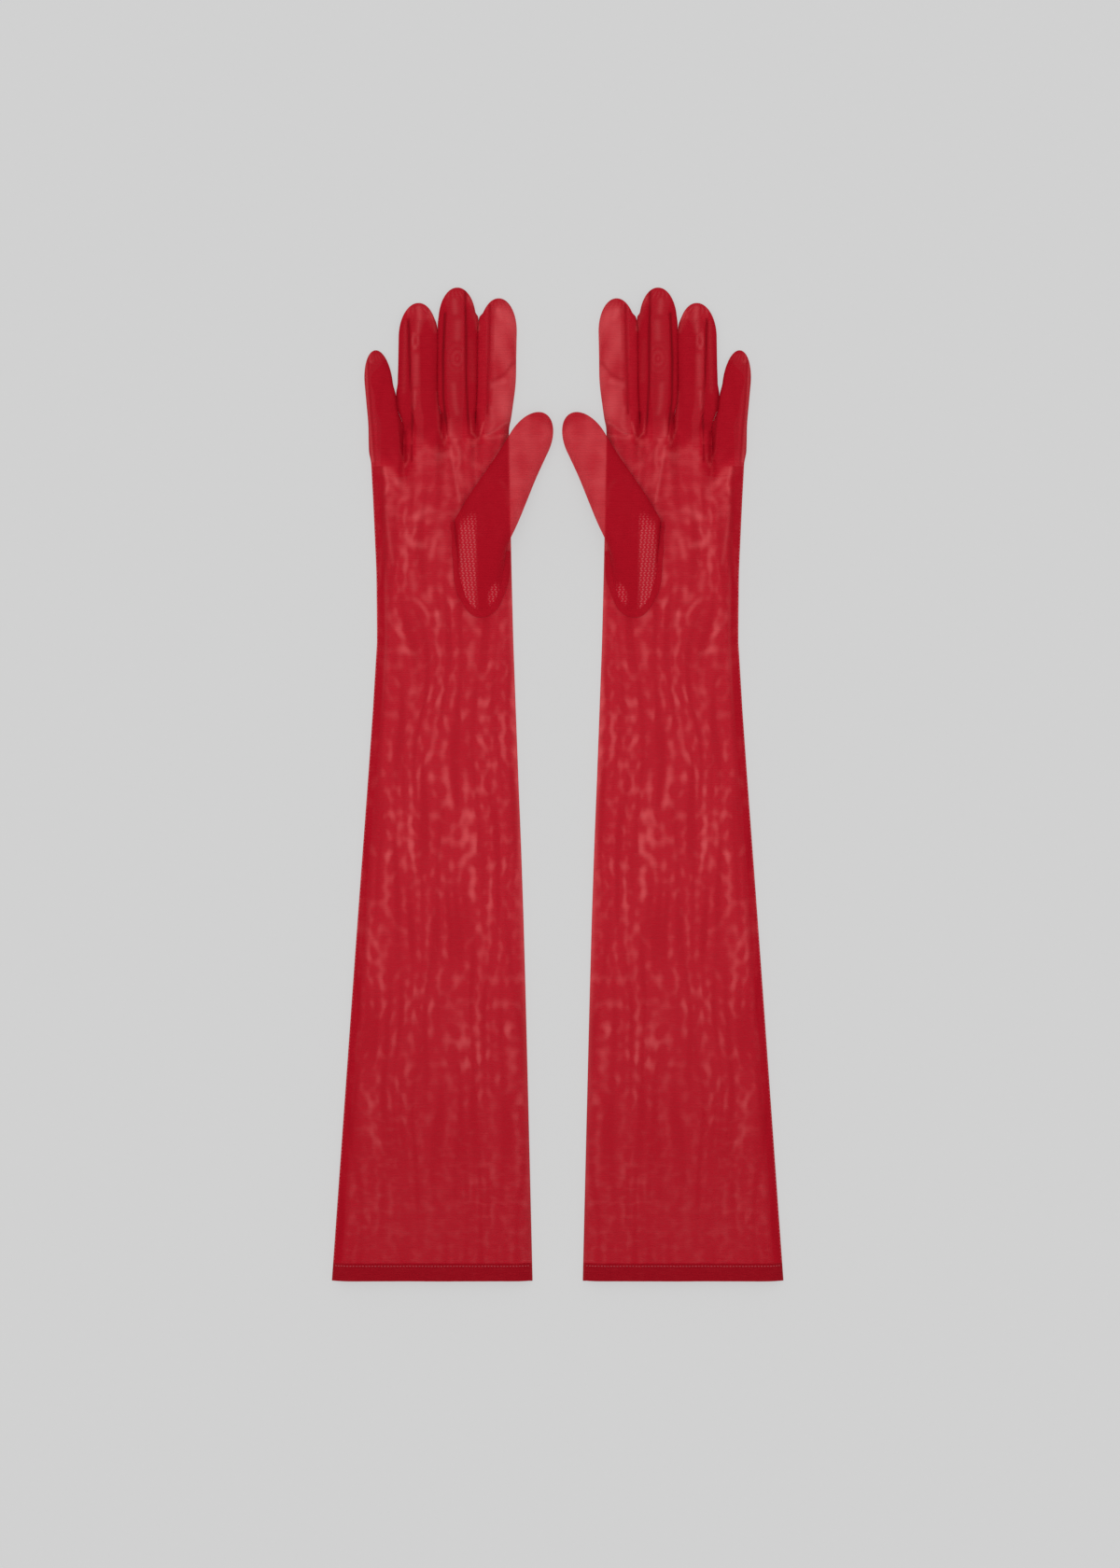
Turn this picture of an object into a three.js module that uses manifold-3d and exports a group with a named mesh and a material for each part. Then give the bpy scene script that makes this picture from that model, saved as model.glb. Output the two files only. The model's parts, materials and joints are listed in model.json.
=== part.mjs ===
// A pair of long sheer gloves laid flat, palms up, thumbs towards each other.
// Millimetres. +X to the wearer's left glove, +Y to the fingertips, +Z up. The origin is on the
// table, midway between the gloves and midway along their length.
// The wearer's right glove is drawn in full on the -X side, and the left glove is its mirror image.
import * as THREE from 'three';
import { mergeVertices } from 'three/addons/utils/BufferGeometryUtils.js';
import Module from 'manifold-3d';

const wasm = await Module();
wasm.setup();

// ---------------------------------------------------------------- driving dimensions

const SLEEVE_LENGTH = 372; // hem's edge to the wrist crease
const PALM_LENGTH = 98.5; // wrist crease to the foot of the middle finger
const HEM_WIDTH = 112;
const FOREARM_WIDTH = 93.4; // at FOREARM_SHARE of the sleeve
const LOW_ARM_WIDTH = 82; // at LOW_ARM_SHARE of the sleeve
const WRIST_WIDTH = 75.4;
const FOREARM_SHARE = 0.52;
const LOW_ARM_SHARE = 0.8;

// Distance of the thumb-side edge from the plane midway between the gloves.
const HEM_INSET = 14;
const FOREARM_INSET = 18.8;
const LOW_ARM_INSET = 22.6;
const WRIST_INSET = 25.2;
const KNUCKLE_INSET = 27.2;

// Each finger: its length from the fold at its foot, its width at the foot and above it, how far
// its foot lies below the middle finger's, the sideways sweep above the foot, the lean of its
// middle line in degrees (negative to the little-finger side), and which of its two sides are
// walls of side strip (the others are a fold or a seam).
const FINGERS = [
  { name: 'little', length: 64, foot: 18.6, width: 15.8, below: 15.5, sweep: 0, lean: -5.2, walls: [1] },
  { name: 'ring', length: 78.4, foot: 20.4, width: 21.4, below: 3.5, sweep: -3.6, lean: 1, walls: [-1, 1] },
  { name: 'middle', length: 83.5, foot: 18.4, width: 21, below: 0, sweep: -0.8, lean: 0, walls: [-1, 1] },
  { name: 'index', length: 75, foot: 18, width: 20.8, below: -2.5, sweep: 1.8, lean: 1.2, walls: [-1] },
];
const FINGER_GAP = 0.8;
const FINGER_FLARE = 26; // length above the foot over which the finger takes its full width
const FINGER_TIP = 19; // length of the rounded tip
const TIP_SHARES = [0.45, 0.72, 0.9, 1]; // stations along every rounded tip, as shares of it
const TIP_BLUNT = 0.98; // below 1 the very end keeps a little width
const FINGER_HEIGHT = 5.4;
const FINGER_ROLL = 5; // width of the slope at a folded or seamed side

const THUMB_LENGTH = 75;
const THUMB_FOOT = 32.4;
const THUMB_WIDTH = 23.4;
const THUMB_TAPER = 58; // length over which the thumb narrows from its foot
const THUMB_TIP = 20;
const THUMB_ANGLE = 28.2; // degrees between the thumb and the arm
const THUMB_LOFT = 5.8; // height of the thumb tube
const THUMB_ROLL = 5;
const THUMB_BELOW = 53.2; // the thumb's fold below the middle finger's foot
const THUMB_INSET = 16.3; // the middle of the thumb's fold, in from the thumb-side edge

const INSERT_WIDTH = 26.6; // the oval where the thumb piece is sewn into the palm
const INSERT_LENGTH = 59.6;
const INSERT_BELOW = 15.2; // the oval's middle below the thumb's fold
const SEAM_WIDTH = 2; // the raised seam round the oval
const HOLE_LAP = 1.5; // how far the thumb piece laps over the edge of the palm's hole

const SHEET = 0.4; // thickness of one layer of cloth
const HAND_HEIGHT = 6.4;
const HAND_ROLL = 12; // width of the slope at the glove's long edges
const ROLL_FADE = 60; // length below the fingers over which that slope narrows to a finger's
const CLEAR = 0.3; // gap between pieces that touch on the real glove
const HEM_DEPTH = 10;
const HEM_LAYERS = 2;
const STITCH_LINE = 0.6; // width of the line of stitches on the hem
const STITCH_RISE = 0.3;
const STITCH_INSET = 1.2; // from the hem's inner edge
const SIDE_SEAM_WIDTH = 3.3;
const SIDE_SEAM_INSET = 2.2;

// ---------------------------------------------------------------- levels and places

const MIDDLE = FINGERS[2];
const TOTAL_LENGTH = SLEEVE_LENGTH + PALM_LENGTH + MIDDLE.length;
const HEM_Y = -TOTAL_LENGTH / 2;
const KNUCKLE_Y = HEM_Y + SLEEVE_LENGTH + PALM_LENGTH;
const BACK_TOP = SHEET;
const EDGE_UNDER = BACK_TOP + CLEAR; // underside of every sheet's edge that meets the back
const HEM_SHEET = SHEET * HEM_LAYERS;
const KNUCKLE_WIDTH =
  FINGERS.reduce((sum, finger) => sum + finger.foot, 0) + FINGER_GAP * (FINGERS.length - 1);

// The middle of each finger's foot, counted in from the little-finger edge.
let across = -KNUCKLE_INSET - KNUCKLE_WIDTH;
for (const finger of FINGERS) {
  finger.x = across + finger.foot / 2;
  finger.y = KNUCKLE_Y - finger.below;
  across += finger.foot + FINGER_GAP;
}
const TOP_Y = Math.max(...FINGERS.map((finger) => finger.y));

const THUMB_UNDER = HAND_HEIGHT + CLEAR;
const THUMB_FOLD_Y = KNUCKLE_Y - THUMB_BELOW;
const INSERT_Y = THUMB_FOLD_Y - INSERT_BELOW;

// Both long edges of the arm and palm, as [distance up from the hem, x] joined by smooth curves.
const LEVELS = [
  [0, HEM_WIDTH, HEM_INSET],
  [SLEEVE_LENGTH * FOREARM_SHARE, FOREARM_WIDTH, FOREARM_INSET],
  [SLEEVE_LENGTH * LOW_ARM_SHARE, LOW_ARM_WIDTH, LOW_ARM_INSET],
  [SLEEVE_LENGTH, WRIST_WIDTH, WRIST_INSET],
  [TOP_Y - HEM_Y, KNUCKLE_WIDTH, KNUCKLE_INSET],
];
const innerEdge = new THREE.SplineCurve(LEVELS.map(([up, , inset]) => new THREE.Vector2(up, -inset)));
const outerEdge = new THREE.SplineCurve(
  LEVELS.map(([up, width, inset]) => new THREE.Vector2(up, -inset - width)),
);

function edgeAt(edge, y) {
  const points = edge.getPoints(120);
  const up = Math.min(Math.max(y - HEM_Y, 0), points.at(-1).x);
  const next = Math.max(1, points.findIndex((point) => point.x >= up));
  const [a, b] = [points[next - 1], points[next]];
  return a.y + ((b.y - a.y) * (up - a.x)) / (b.x - a.x);
}

const THUMB_X = edgeAt(innerEdge, THUMB_FOLD_Y) - THUMB_INSET;

// ---------------------------------------------------------------- cloth as closed solids

// A closed sheet. Each station is a line across it at (x, y), turned clockwise from +X by `turn`,
// and its profile gives [distance along that line, height of the upper side], left to right.
function clothSheet(stations, thickness) {
  const count = stations[0].profile.length;
  const positions = [];
  for (const { x, y, turn = 0, profile } of stations) {
    const [c, s] = [Math.cos(turn), Math.sin(turn)];
    for (const [w, top] of profile) {
      positions.push(x + w * c, y - w * s, top);
    }
    for (const [w, top] of profile) {
      positions.push(x + w * c, y - w * s, top - thickness);
    }
  }
  const index = [];
  const quad = (a, b, c, d) => index.push(a, b, c, a, c, d);
  const at = (station, side, point) => (station * 2 + side) * count + point;
  for (let i = 0; i < stations.length - 1; i += 1) {
    for (let j = 0; j < count - 1; j += 1) {
      quad(at(i, 0, j), at(i, 0, j + 1), at(i + 1, 0, j + 1), at(i + 1, 0, j));
      quad(at(i, 1, j), at(i + 1, 1, j), at(i + 1, 1, j + 1), at(i, 1, j + 1));
    }
    quad(at(i, 0, 0), at(i + 1, 0, 0), at(i + 1, 1, 0), at(i, 1, 0));
    quad(at(i, 0, count - 1), at(i, 1, count - 1), at(i + 1, 1, count - 1), at(i + 1, 0, count - 1));
  }
  const last = stations.length - 1;
  for (let j = 0; j < count - 1; j += 1) {
    quad(at(0, 0, j), at(0, 1, j), at(0, 1, j + 1), at(0, 0, j + 1));
    quad(at(last, 0, j), at(last, 0, j + 1), at(last, 1, j + 1), at(last, 1, j));
  }
  const geometry = new THREE.BufferGeometry();
  geometry.setAttribute('position', new THREE.Float32BufferAttribute(positions, 3));
  geometry.setIndex(index);
  return geometry;
}

function solid(geometry) {
  const bare = geometry.clone();
  bare.deleteAttribute('normal');
  bare.deleteAttribute('uv');
  const merged = mergeVertices(bare, 1e-4);
  return new wasm.Manifold(
    new wasm.Mesh({
      numProp: 3,
      vertProperties: new Float32Array(merged.attributes.position.array),
      triVerts: new Uint32Array(merged.index.array),
    }),
  );
}

function cut(geometry, ...tools) {
  const mesh = tools.reduce((body, tool) => body.subtract(solid(tool)), solid(geometry)).getMesh();
  const result = new THREE.BufferGeometry();
  result.setAttribute('position', new THREE.Float32BufferAttribute(mesh.vertProperties, 3));
  result.setIndex(Array.from(mesh.triVerts));
  return result;
}

// Evenly spaced values from one to another, both included.
const evenly = (from, to, steps) =>
  Array.from({ length: steps + 1 }, (_, i) => THREE.MathUtils.lerp(from, to, i / steps));

const smooth = (t) => THREE.MathUtils.smoothstep(t, 0, 1);

// Profile of a sheet from `left` to `right` that slopes down to the table at the sides named.
function slopedProfile(left, right, top, edgeTop, roll, slopes) {
  const points = [];
  if (slopes.includes(-1)) {
    points.push([left, edgeTop], [left + roll, top]);
  } else {
    points.push([left, top]);
  }
  if (slopes.includes(1)) {
    points.push([right - roll, top], [right, edgeTop]);
  } else {
    points.push([right, top]);
  }
  return points;
}

// ---------------------------------------------------------------- arm and palm

const ARM_FROM = HEM_Y + HEM_DEPTH + CLEAR;
const ARM_STEPS = 12;
const PALM_TO = TOP_Y - CLEAR;

// Clears the palm above each finger's fold, so that the sheet ends in a step at every foot.
function footSteps() {
  return FINGERS.filter((finger) => finger.y < TOP_Y).map((finger) => {
    const first = finger === FINGERS[0];
    const left = finger.x - finger.foot / 2 - (first ? HAND_ROLL : FINGER_GAP / 2);
    const right = finger.x + finger.foot / 2 + FINGER_GAP;
    const from = finger.y - CLEAR;
    const to = TOP_Y + HAND_ROLL;
    const box = new THREE.BoxGeometry(right - left, to - from, HAND_HEIGHT * 4);
    return box.translate((left + right) / 2, (from + to) / 2, 0);
  });
}

function thumbHole() {
  const oval = new THREE.Shape();
  oval.absellipse(0, 0, INSERT_WIDTH / 2 - HOLE_LAP, INSERT_LENGTH / 2 - HOLE_LAP, 0, Math.PI * 2);
  const hole = new THREE.ExtrudeGeometry(oval, {
    depth: HAND_HEIGHT * 2,
    bevelEnabled: false,
    curveSegments: 20,
  });
  return hole.translate(THUMB_X, INSERT_Y, 0);
}

function rollAt(y) {
  return THREE.MathUtils.lerp(FINGER_ROLL, HAND_ROLL, smooth((TOP_Y - y) / ROLL_FADE));
}

function palmPanel() {
  const stations = evenly(ARM_FROM, PALM_TO, ARM_STEPS).map((y) => ({
    x: 0,
    y,
    profile: slopedProfile(
      edgeAt(outerEdge, y),
      edgeAt(innerEdge, y),
      HAND_HEIGHT,
      EDGE_UNDER + SHEET,
      rollAt(y),
      [-1, 1],
    ),
  }));
  return cut(clothSheet(stations, SHEET), thumbHole(), ...footSteps());
}

function backPanel() {
  const stations = evenly(ARM_FROM, PALM_TO, ARM_STEPS).map((y) => ({
    x: 0,
    y,
    profile: [[edgeAt(outerEdge, y), BACK_TOP], [edgeAt(innerEdge, y), BACK_TOP]],
  }));
  return cut(clothSheet(stations, SHEET), ...footSteps());
}

function sideSeam() {
  const stations = evenly(ARM_FROM, FINGERS[0].y - CLEAR, ARM_STEPS).map((y) => {
    const from = edgeAt(outerEdge, y) + SIDE_SEAM_INSET;
    const top = EDGE_UNDER + SHEET;
    return { x: 0, y, profile: [[from, top], [from + SIDE_SEAM_WIDTH, top]] };
  });
  return clothSheet(stations, SHEET);
}

// ---------------------------------------------------------------- hem

const HEM_EDGE_TOP = 2 * HEM_SHEET + CLEAR;

function hemStations(from, to, rise, shorten) {
  return [from, to].map((y) => ({
    x: 0,
    y,
    profile: slopedProfile(
      edgeAt(outerEdge, y) + shorten,
      edgeAt(innerEdge, y) - shorten,
      HAND_HEIGHT + rise,
      HEM_EDGE_TOP + ((HAND_HEIGHT - HEM_EDGE_TOP) * shorten) / HAND_ROLL + rise,
      HAND_ROLL - shorten,
      [-1, 1],
    ),
  }));
}

function hemPalm() {
  return clothSheet(hemStations(HEM_Y, HEM_Y + HEM_DEPTH, 0, 0), HEM_SHEET);
}

function hemBack() {
  const stations = [HEM_Y, HEM_Y + HEM_DEPTH].map((y) => ({
    x: 0,
    y,
    profile: [[edgeAt(outerEdge, y), HEM_SHEET], [edgeAt(innerEdge, y), HEM_SHEET]],
  }));
  return clothSheet(stations, HEM_SHEET);
}

function hemStitching() {
  const to = HEM_Y + HEM_DEPTH - STITCH_INSET;
  const rise = CLEAR + STITCH_RISE;
  return clothSheet(hemStations(to - STITCH_LINE, to, rise, 1), STITCH_RISE);
}

// ---------------------------------------------------------------- fingers

// How full a tube with a rounded tip is at a distance from its foot: 1 up to the tip, then less.
function fullness(s, length, tip) {
  const round = Math.max(0, (s - (length - tip)) / tip);
  return Math.sqrt(1 - TIP_BLUNT * round * round);
}

// Half width and middle line of a finger at a distance from its fold, and its fullness there.
function fingerAt(finger, s) {
  const full = finger.foot / 2 + ((finger.width - finger.foot) / 2) * smooth(s / FINGER_FLARE);
  const cap = fullness(s, finger.length, FINGER_TIP);
  const lean = Math.tan(THREE.MathUtils.degToRad(finger.lean));
  return {
    half: full * cap,
    x: finger.x + finger.sweep * smooth(s / FINGER_FLARE) + lean * s,
    y: finger.y + s,
    cap,
  };
}

// Distances from the foot at which a finger or thumb has a station.
function tubeSteps(length, tip) {
  const body = evenly(0, length - tip, 4);
  return [...body, ...TIP_SHARES.map((share) => length - tip + tip * share)];
}

function fingerPalmSide(finger) {
  const slopes = [-1, 1].filter((side) => !finger.walls.includes(side));
  const edgeTop = EDGE_UNDER + SHEET;
  const stations = tubeSteps(finger.length, FINGER_TIP).map((s) => {
    const { half, x, y, cap } = fingerAt(finger, s);
    const top = edgeTop + (FINGER_HEIGHT - edgeTop) * cap;
    const roll = Math.min(FINGER_ROLL, half * 0.8);
    return { x, y, profile: slopedProfile(-half, half, top, edgeTop, roll, slopes) };
  });
  return clothSheet(stations, SHEET);
}

function fingerBackSide(finger) {
  const stations = tubeSteps(finger.length, FINGER_TIP).map((s) => {
    const { half, x, y } = fingerAt(finger, s);
    return { x, y, profile: [[-half, BACK_TOP], [half, BACK_TOP]] };
  });
  return clothSheet(stations, SHEET);
}

// The strip sewn between the palm side and the back of a finger, standing on edge.
function sideStrip(finger, side) {
  const top = FINGER_HEIGHT - SHEET - CLEAR;
  const stations = evenly(0, finger.length - FINGER_TIP, 5).map((s) => {
    const { half, x, y } = fingerAt(finger, s);
    const outer = side * half;
    const inner = outer - side * SHEET;
    return { x, y, profile: [[Math.min(outer, inner), top], [Math.max(outer, inner), top]] };
  });
  return clothSheet(stations, top - EDGE_UNDER);
}

// The turn of a side strip round the crotch between two fingers, a small U standing on edge.
function crotchTurn(left, right) {
  const outer = FINGER_GAP / 2 + CLEAR * 2;
  const inner = outer - SHEET;
  const x = left.x + left.foot / 2 + FINGER_GAP / 2;
  const low = Math.min(left.y, right.y) - CLEAR - 2;
  const outline = new THREE.Shape();
  outline.moveTo(-outer, left.y - CLEAR);
  outline.lineTo(-outer, low);
  outline.absarc(0, low, outer, Math.PI, Math.PI * 2, false);
  outline.lineTo(outer, right.y - CLEAR);
  outline.lineTo(inner, right.y - CLEAR);
  outline.lineTo(inner, low);
  outline.absarc(0, low, inner, 0, -Math.PI, true);
  outline.lineTo(-inner, left.y - CLEAR);
  outline.closePath();
  const depth = HAND_HEIGHT - SHEET - CLEAR - EDGE_UNDER;
  const turn = new THREE.ExtrudeGeometry(outline, { depth, bevelEnabled: false, curveSegments: 5 });
  return turn.translate(x, 0, EDGE_UNDER);
}

// ---------------------------------------------------------------- thumb

const THUMB_TURN = THREE.MathUtils.degToRad(THUMB_ANGLE);
const THUMB_TOP = THUMB_UNDER + THUMB_LOFT;
const THUMB_EDGE_TOP = THUMB_UNDER + SHEET + CLEAR + SHEET;

function thumbAt(s) {
  const full = THUMB_FOOT / 2 + ((THUMB_WIDTH - THUMB_FOOT) / 2) * smooth(s / THUMB_TAPER);
  const cap = fullness(s, THUMB_LENGTH, THUMB_TIP);
  return {
    half: full * cap,
    x: THUMB_X + s * Math.sin(THUMB_TURN),
    y: THUMB_FOLD_Y + s * Math.cos(THUMB_TURN),
    cap,
  };
}

function thumbPalmSide() {
  const stations = tubeSteps(THUMB_LENGTH, THUMB_TIP).map((s) => {
    const { half, x, y, cap } = thumbAt(s);
    const top = THUMB_EDGE_TOP + (THUMB_TOP - THUMB_EDGE_TOP) * cap;
    const roll = Math.min(THUMB_ROLL, half * 0.8);
    const profile = slopedProfile(-half, half, top, THUMB_EDGE_TOP, roll, [-1, 1]);
    return { x, y, turn: THUMB_TURN, profile };
  });
  return clothSheet(stations, SHEET);
}

function thumbBackSide() {
  const top = THUMB_UNDER + SHEET;
  const stations = tubeSteps(THUMB_LENGTH, THUMB_TIP).map((s) => {
    const { half, x, y } = thumbAt(s);
    return { x, y, turn: THUMB_TURN, profile: [[-half, top], [half, top]] };
  });
  return clothSheet(stations, SHEET);
}

// The mouth of the thumb piece: a half oval sewn to the palm that rises to meet the thumb's foot.
function thumbInsert() {
  const edgeTop = THUMB_UNDER + SHEET;
  const stations = [-84, -65, -45, -22, 0].map((degrees) => {
    const turn = THREE.MathUtils.degToRad(degrees);
    const rise = smooth((1 + Math.sin(turn)) * 0.7);
    const half = (INSERT_WIDTH / 2) * Math.cos(turn);
    const top = edgeTop + (THUMB_TOP - edgeTop) * rise;
    return {
      x: THUMB_X,
      y: INSERT_Y + (INSERT_LENGTH / 2) * Math.sin(turn),
      profile: slopedProfile(-half, half, top, edgeTop, Math.min(THUMB_ROLL, half * 0.8), [-1, 1]),
    };
  });
  const half = THUMB_FOOT / 2;
  stations.push({
    x: THUMB_X - CLEAR * Math.sin(THUMB_TURN),
    y: THUMB_FOLD_Y - CLEAR * Math.cos(THUMB_TURN),
    turn: THUMB_TURN,
    profile: slopedProfile(-half, half, THUMB_TOP, edgeTop, THUMB_ROLL, [-1, 1]),
  });
  return clothSheet(stations, SHEET);
}

// The raised seam that follows the lower half of the oval.
function thumbSeam() {
  const [a, b] = [INSERT_WIDTH, INSERT_LENGTH].map((size) => size / 2 + CLEAR * 2 + SEAM_WIDTH / 2);
  const top = THUMB_UNDER + SHEET;
  const stations = evenly(Math.PI, Math.PI * 2, 14).map((turn) => ({
    x: THUMB_X + a * Math.cos(turn),
    y: INSERT_Y + b * Math.sin(turn),
    turn: Math.atan2(-a * Math.sin(turn), b * Math.cos(turn)),
    profile: [[-SEAM_WIDTH / 2, top], [SEAM_WIDTH / 2, top]],
  }));
  return clothSheet(stations, SHEET);
}

// ---------------------------------------------------------------- the pair

const cloth = (colour) =>
  new THREE.MeshStandardMaterial({ color: colour, roughness: 0.85, metalness: 0 });
const MESH_CLOTH = cloth(0xb22030);
const STRIP_CLOTH = cloth(0xa01c2a);
const HEM_CLOTH = cloth(0x8e1220);
const THREAD = new THREE.MeshStandardMaterial({ color: 0xd0505a, roughness: 0.6, metalness: 0 });

function glove(hand) {
  const group = new THREE.Group();
  const add = (name, geometry, material) => {
    const mesh = new THREE.Mesh(geometry, material);
    mesh.name = `${hand}_${name}`;
    group.add(mesh);
  };
  add('palm_panel', palmPanel(), MESH_CLOTH);
  add('back_panel', backPanel(), MESH_CLOTH);
  add('side_seam', sideSeam(), STRIP_CLOTH);
  add('hem_palm_side', hemPalm(), HEM_CLOTH);
  add('hem_back_side', hemBack(), HEM_CLOTH);
  add('hem_stitching', hemStitching(), THREAD);
  for (const finger of FINGERS) {
    add(`${finger.name}_palm_side`, fingerPalmSide(finger), MESH_CLOTH);
    add(`${finger.name}_back_side`, fingerBackSide(finger), MESH_CLOTH);
    for (const side of finger.walls) {
      add(`${finger.name}_strip_${side < 0 ? 'outer' : 'inner'}`, sideStrip(finger, side), STRIP_CLOTH);
    }
  }
  for (let i = 0; i < FINGERS.length - 1; i += 1) {
    const [left, right] = [FINGERS[i], FINGERS[i + 1]];
    add(`crotch_${left.name}_${right.name}`, crotchTurn(left, right), STRIP_CLOTH);
  }
  add('thumb_palm_side', thumbPalmSide(), MESH_CLOTH);
  add('thumb_back_side', thumbBackSide(), MESH_CLOTH);
  add('thumb_insert', thumbInsert(), MESH_CLOTH);
  add('thumb_seam', thumbSeam(), STRIP_CLOTH);
  return group;
}

const pair = new THREE.Group();
const right = glove('right');
const left = glove('left');
left.scale.x = -1;
pair.add(right, left);

export default pair;
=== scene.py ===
"""A pair of long sheer gloves of red stretch mesh, laid flat on a pale surface, palms up.

The wearer's right glove is worked out in full, in millimetres, from the frame's own outlines. The
left glove is its mirror image. Each sheet of cloth is one surface. Its folds, creases and puckers
are worked into its points here, without a simulation.
"""
import json
import math

import bpy
import numpy as np
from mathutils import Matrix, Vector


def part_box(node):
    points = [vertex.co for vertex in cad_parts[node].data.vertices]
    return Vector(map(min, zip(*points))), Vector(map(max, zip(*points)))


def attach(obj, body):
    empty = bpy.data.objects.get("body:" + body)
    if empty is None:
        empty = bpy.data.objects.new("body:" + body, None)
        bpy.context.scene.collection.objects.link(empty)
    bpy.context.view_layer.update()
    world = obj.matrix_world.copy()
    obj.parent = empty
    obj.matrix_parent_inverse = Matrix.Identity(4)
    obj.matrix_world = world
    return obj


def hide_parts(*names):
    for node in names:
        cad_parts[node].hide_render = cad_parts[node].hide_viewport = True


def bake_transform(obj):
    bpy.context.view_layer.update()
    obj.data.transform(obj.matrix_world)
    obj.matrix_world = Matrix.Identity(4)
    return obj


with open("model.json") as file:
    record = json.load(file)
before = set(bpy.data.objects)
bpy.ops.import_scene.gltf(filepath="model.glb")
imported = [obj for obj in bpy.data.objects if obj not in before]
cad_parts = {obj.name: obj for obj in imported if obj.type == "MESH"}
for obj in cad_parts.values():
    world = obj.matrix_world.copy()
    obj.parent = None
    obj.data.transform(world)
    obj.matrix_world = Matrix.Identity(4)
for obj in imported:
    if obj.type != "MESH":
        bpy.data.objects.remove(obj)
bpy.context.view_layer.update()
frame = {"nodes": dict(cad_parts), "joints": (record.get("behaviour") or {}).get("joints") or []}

# ---- driving dimensions, mm

MM = 0.001
STEP = 1.3  # spacing of a sheet's points along the sleeve
FINE = 0.75  # spacing of a sheet's points in the fingers and thumb

RIM = 0.5  # height at which palm side and back meet
BACK_LOW = 0.2  # height of the back on the table
CROWN_UNDER = 0.9  # how far the slack palm side lies under the frame's
HAND_ROLL = 13  # width of the slope at the sleeve's long edges
KNUCKLE_ROLL = 6  # width of that slope beside the fingers
ROLL_FADE = 60

FOOT_LAP = 1.0  # a finger's cloth starts this far below its fold
BEND_LENGTH = 12  # length over which a finger's cloth bends
FOOT_EASE = 13  # length over which a finger leaves the palm's shape
VALLEY_DEPTH = 2.9  # of the dip that runs down the palm from each crotch
VALLEY_WIDTH = 2.4
VALLEY_LENGTH = 26
WALL_TOP = 2.6  # height of a finger's palm side along its side strip
FINGER_ROLL = 6
FINGER_TIP = 19
TIP_BLUNT = 0.995
TOUCH = 0.03  # gap left between fingers that touch
TOUCH_UP_TO = (216, 253, 258)  # y up to which little and ring, ring and middle, middle and index touch

# How far each side strip is folded in between palm side and back.
STRIP_DEPTH = {
    ("little", 1): 12.2,
    ("ring", -1): 7.3,
    ("ring", 1): 9.6,
    ("middle", -1): 4.9,
    ("middle", 1): 7.2,
    ("index", -1): 5.0,
}
MOIRE_RINGS = (-55.9, 237.0)  # middle of the rings seen in the middle finger
STRIP_END = 5.5  # the strips stop this far below the fingertip

THUMB_TIP = 20
THUMB_ROLL = 7
THUMB_DROOP = 3.6  # how far the thumb hangs down beside the palm
THUMB_SLACK = 1.4  # how far its cloth lies under the frame's

OVAL_WIDTH = 26.6
OVAL_LENGTH = 59.6
OVAL_LAP = 1.2
SEAM_WIDTH = 3.8
TUCK_FOLD = -44.7  # x of the fold of the tuck inside the thumb's mouth

HEM_DEPTH = 10
HEM_TURN = 0.5  # height between the hem's two layers
HEM_PEEK = 0.6  # how far the back of the hem shows below the palm side
SIDE_SEAM_WIDTH = 3.8
STITCH_PITCH = 1.75
STITCH_LENGTH = 1.1
STITCH_THICK = 0.3
SIDE_PITCH, SIDE_STITCH = 2.1, 1.0  # pitch and length of the side seam's stitches
TWIST_PITCH = 0.35  # of the thread's twist
RIB_PITCH = 1.25  # of the mesh's ribs
NET_PITCH = (1.3, 2.15)  # of the net's knots along, and of its strands across

CAMERA_LENS = 85
VIEW_LENGTH = 873.6  # length of table seen from top to bottom
VIEW_MIDDLE = 1.3
SENSOR = 36
FLOOR_SIZE = 80  # metres, so that its edge is never seen
FLOOR_GLOW, SKY_STRENGTH, SUN_STRENGTH = 0.499, 0.9, 0.36
CAMERA_LIFT = 0.004  # metres, about the middle height of the gloves

FINGERS = ("little", "ring", "middle", "index")
SIDES = ((True, "palm"), (False, "back"))


# ---- small tools

def ease(t):
    t = np.clip(t, 0, 1)
    return t * t * (3 - 2 * t)


def mix(a, b, t):
    return a + (b - a) * t


def dome(distance, roll):
    """0 at an edge, rising like a rounded roll to 1 from `roll` inwards."""
    t = np.clip(np.asarray(distance, float) / roll, 0, 1)
    return (1 - (1 - t) ** 2.2) ** 0.72


def fold_profile(u):
    """How far a folded strip reaches in, from its edge at -1 over its fold at 0 to its edge at 1."""
    return 1 - np.abs(u) ** 2.4


def spread(count):
    """Places from 0 to 1, somewhat closer together at both ends."""
    t = (1 - np.cos(np.linspace(0, math.pi, count))) / 2
    return mix(t, np.linspace(0, 1, count), 0.6)


def near(distance, width):
    """1 at no distance, fading away over `width`."""
    return np.exp(-((distance / width) ** 2))


def near_line(x, y, line, width):
    """1 on a line, given as x, y, x, y and so on, and fading away from it over `width`."""
    line = np.reshape(line, (-1, 2)).astype(float)
    xy = np.stack(np.broadcast_arrays(x, y), -1)
    best = np.full(xy.shape[:-1], 1e9)
    for a, b in zip(line, line[1:]):
        ab = b - a
        t = np.clip(((xy - a) @ ab) / (ab @ ab), 0, 1)
        best = np.minimum(best, np.linalg.norm(xy - (a + t[..., None] * ab), axis=-1))
    return near(best, width)


def points_of(node):
    return np.array([v.co for v in frame["nodes"][node].data.vertices], float) / MM


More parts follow.
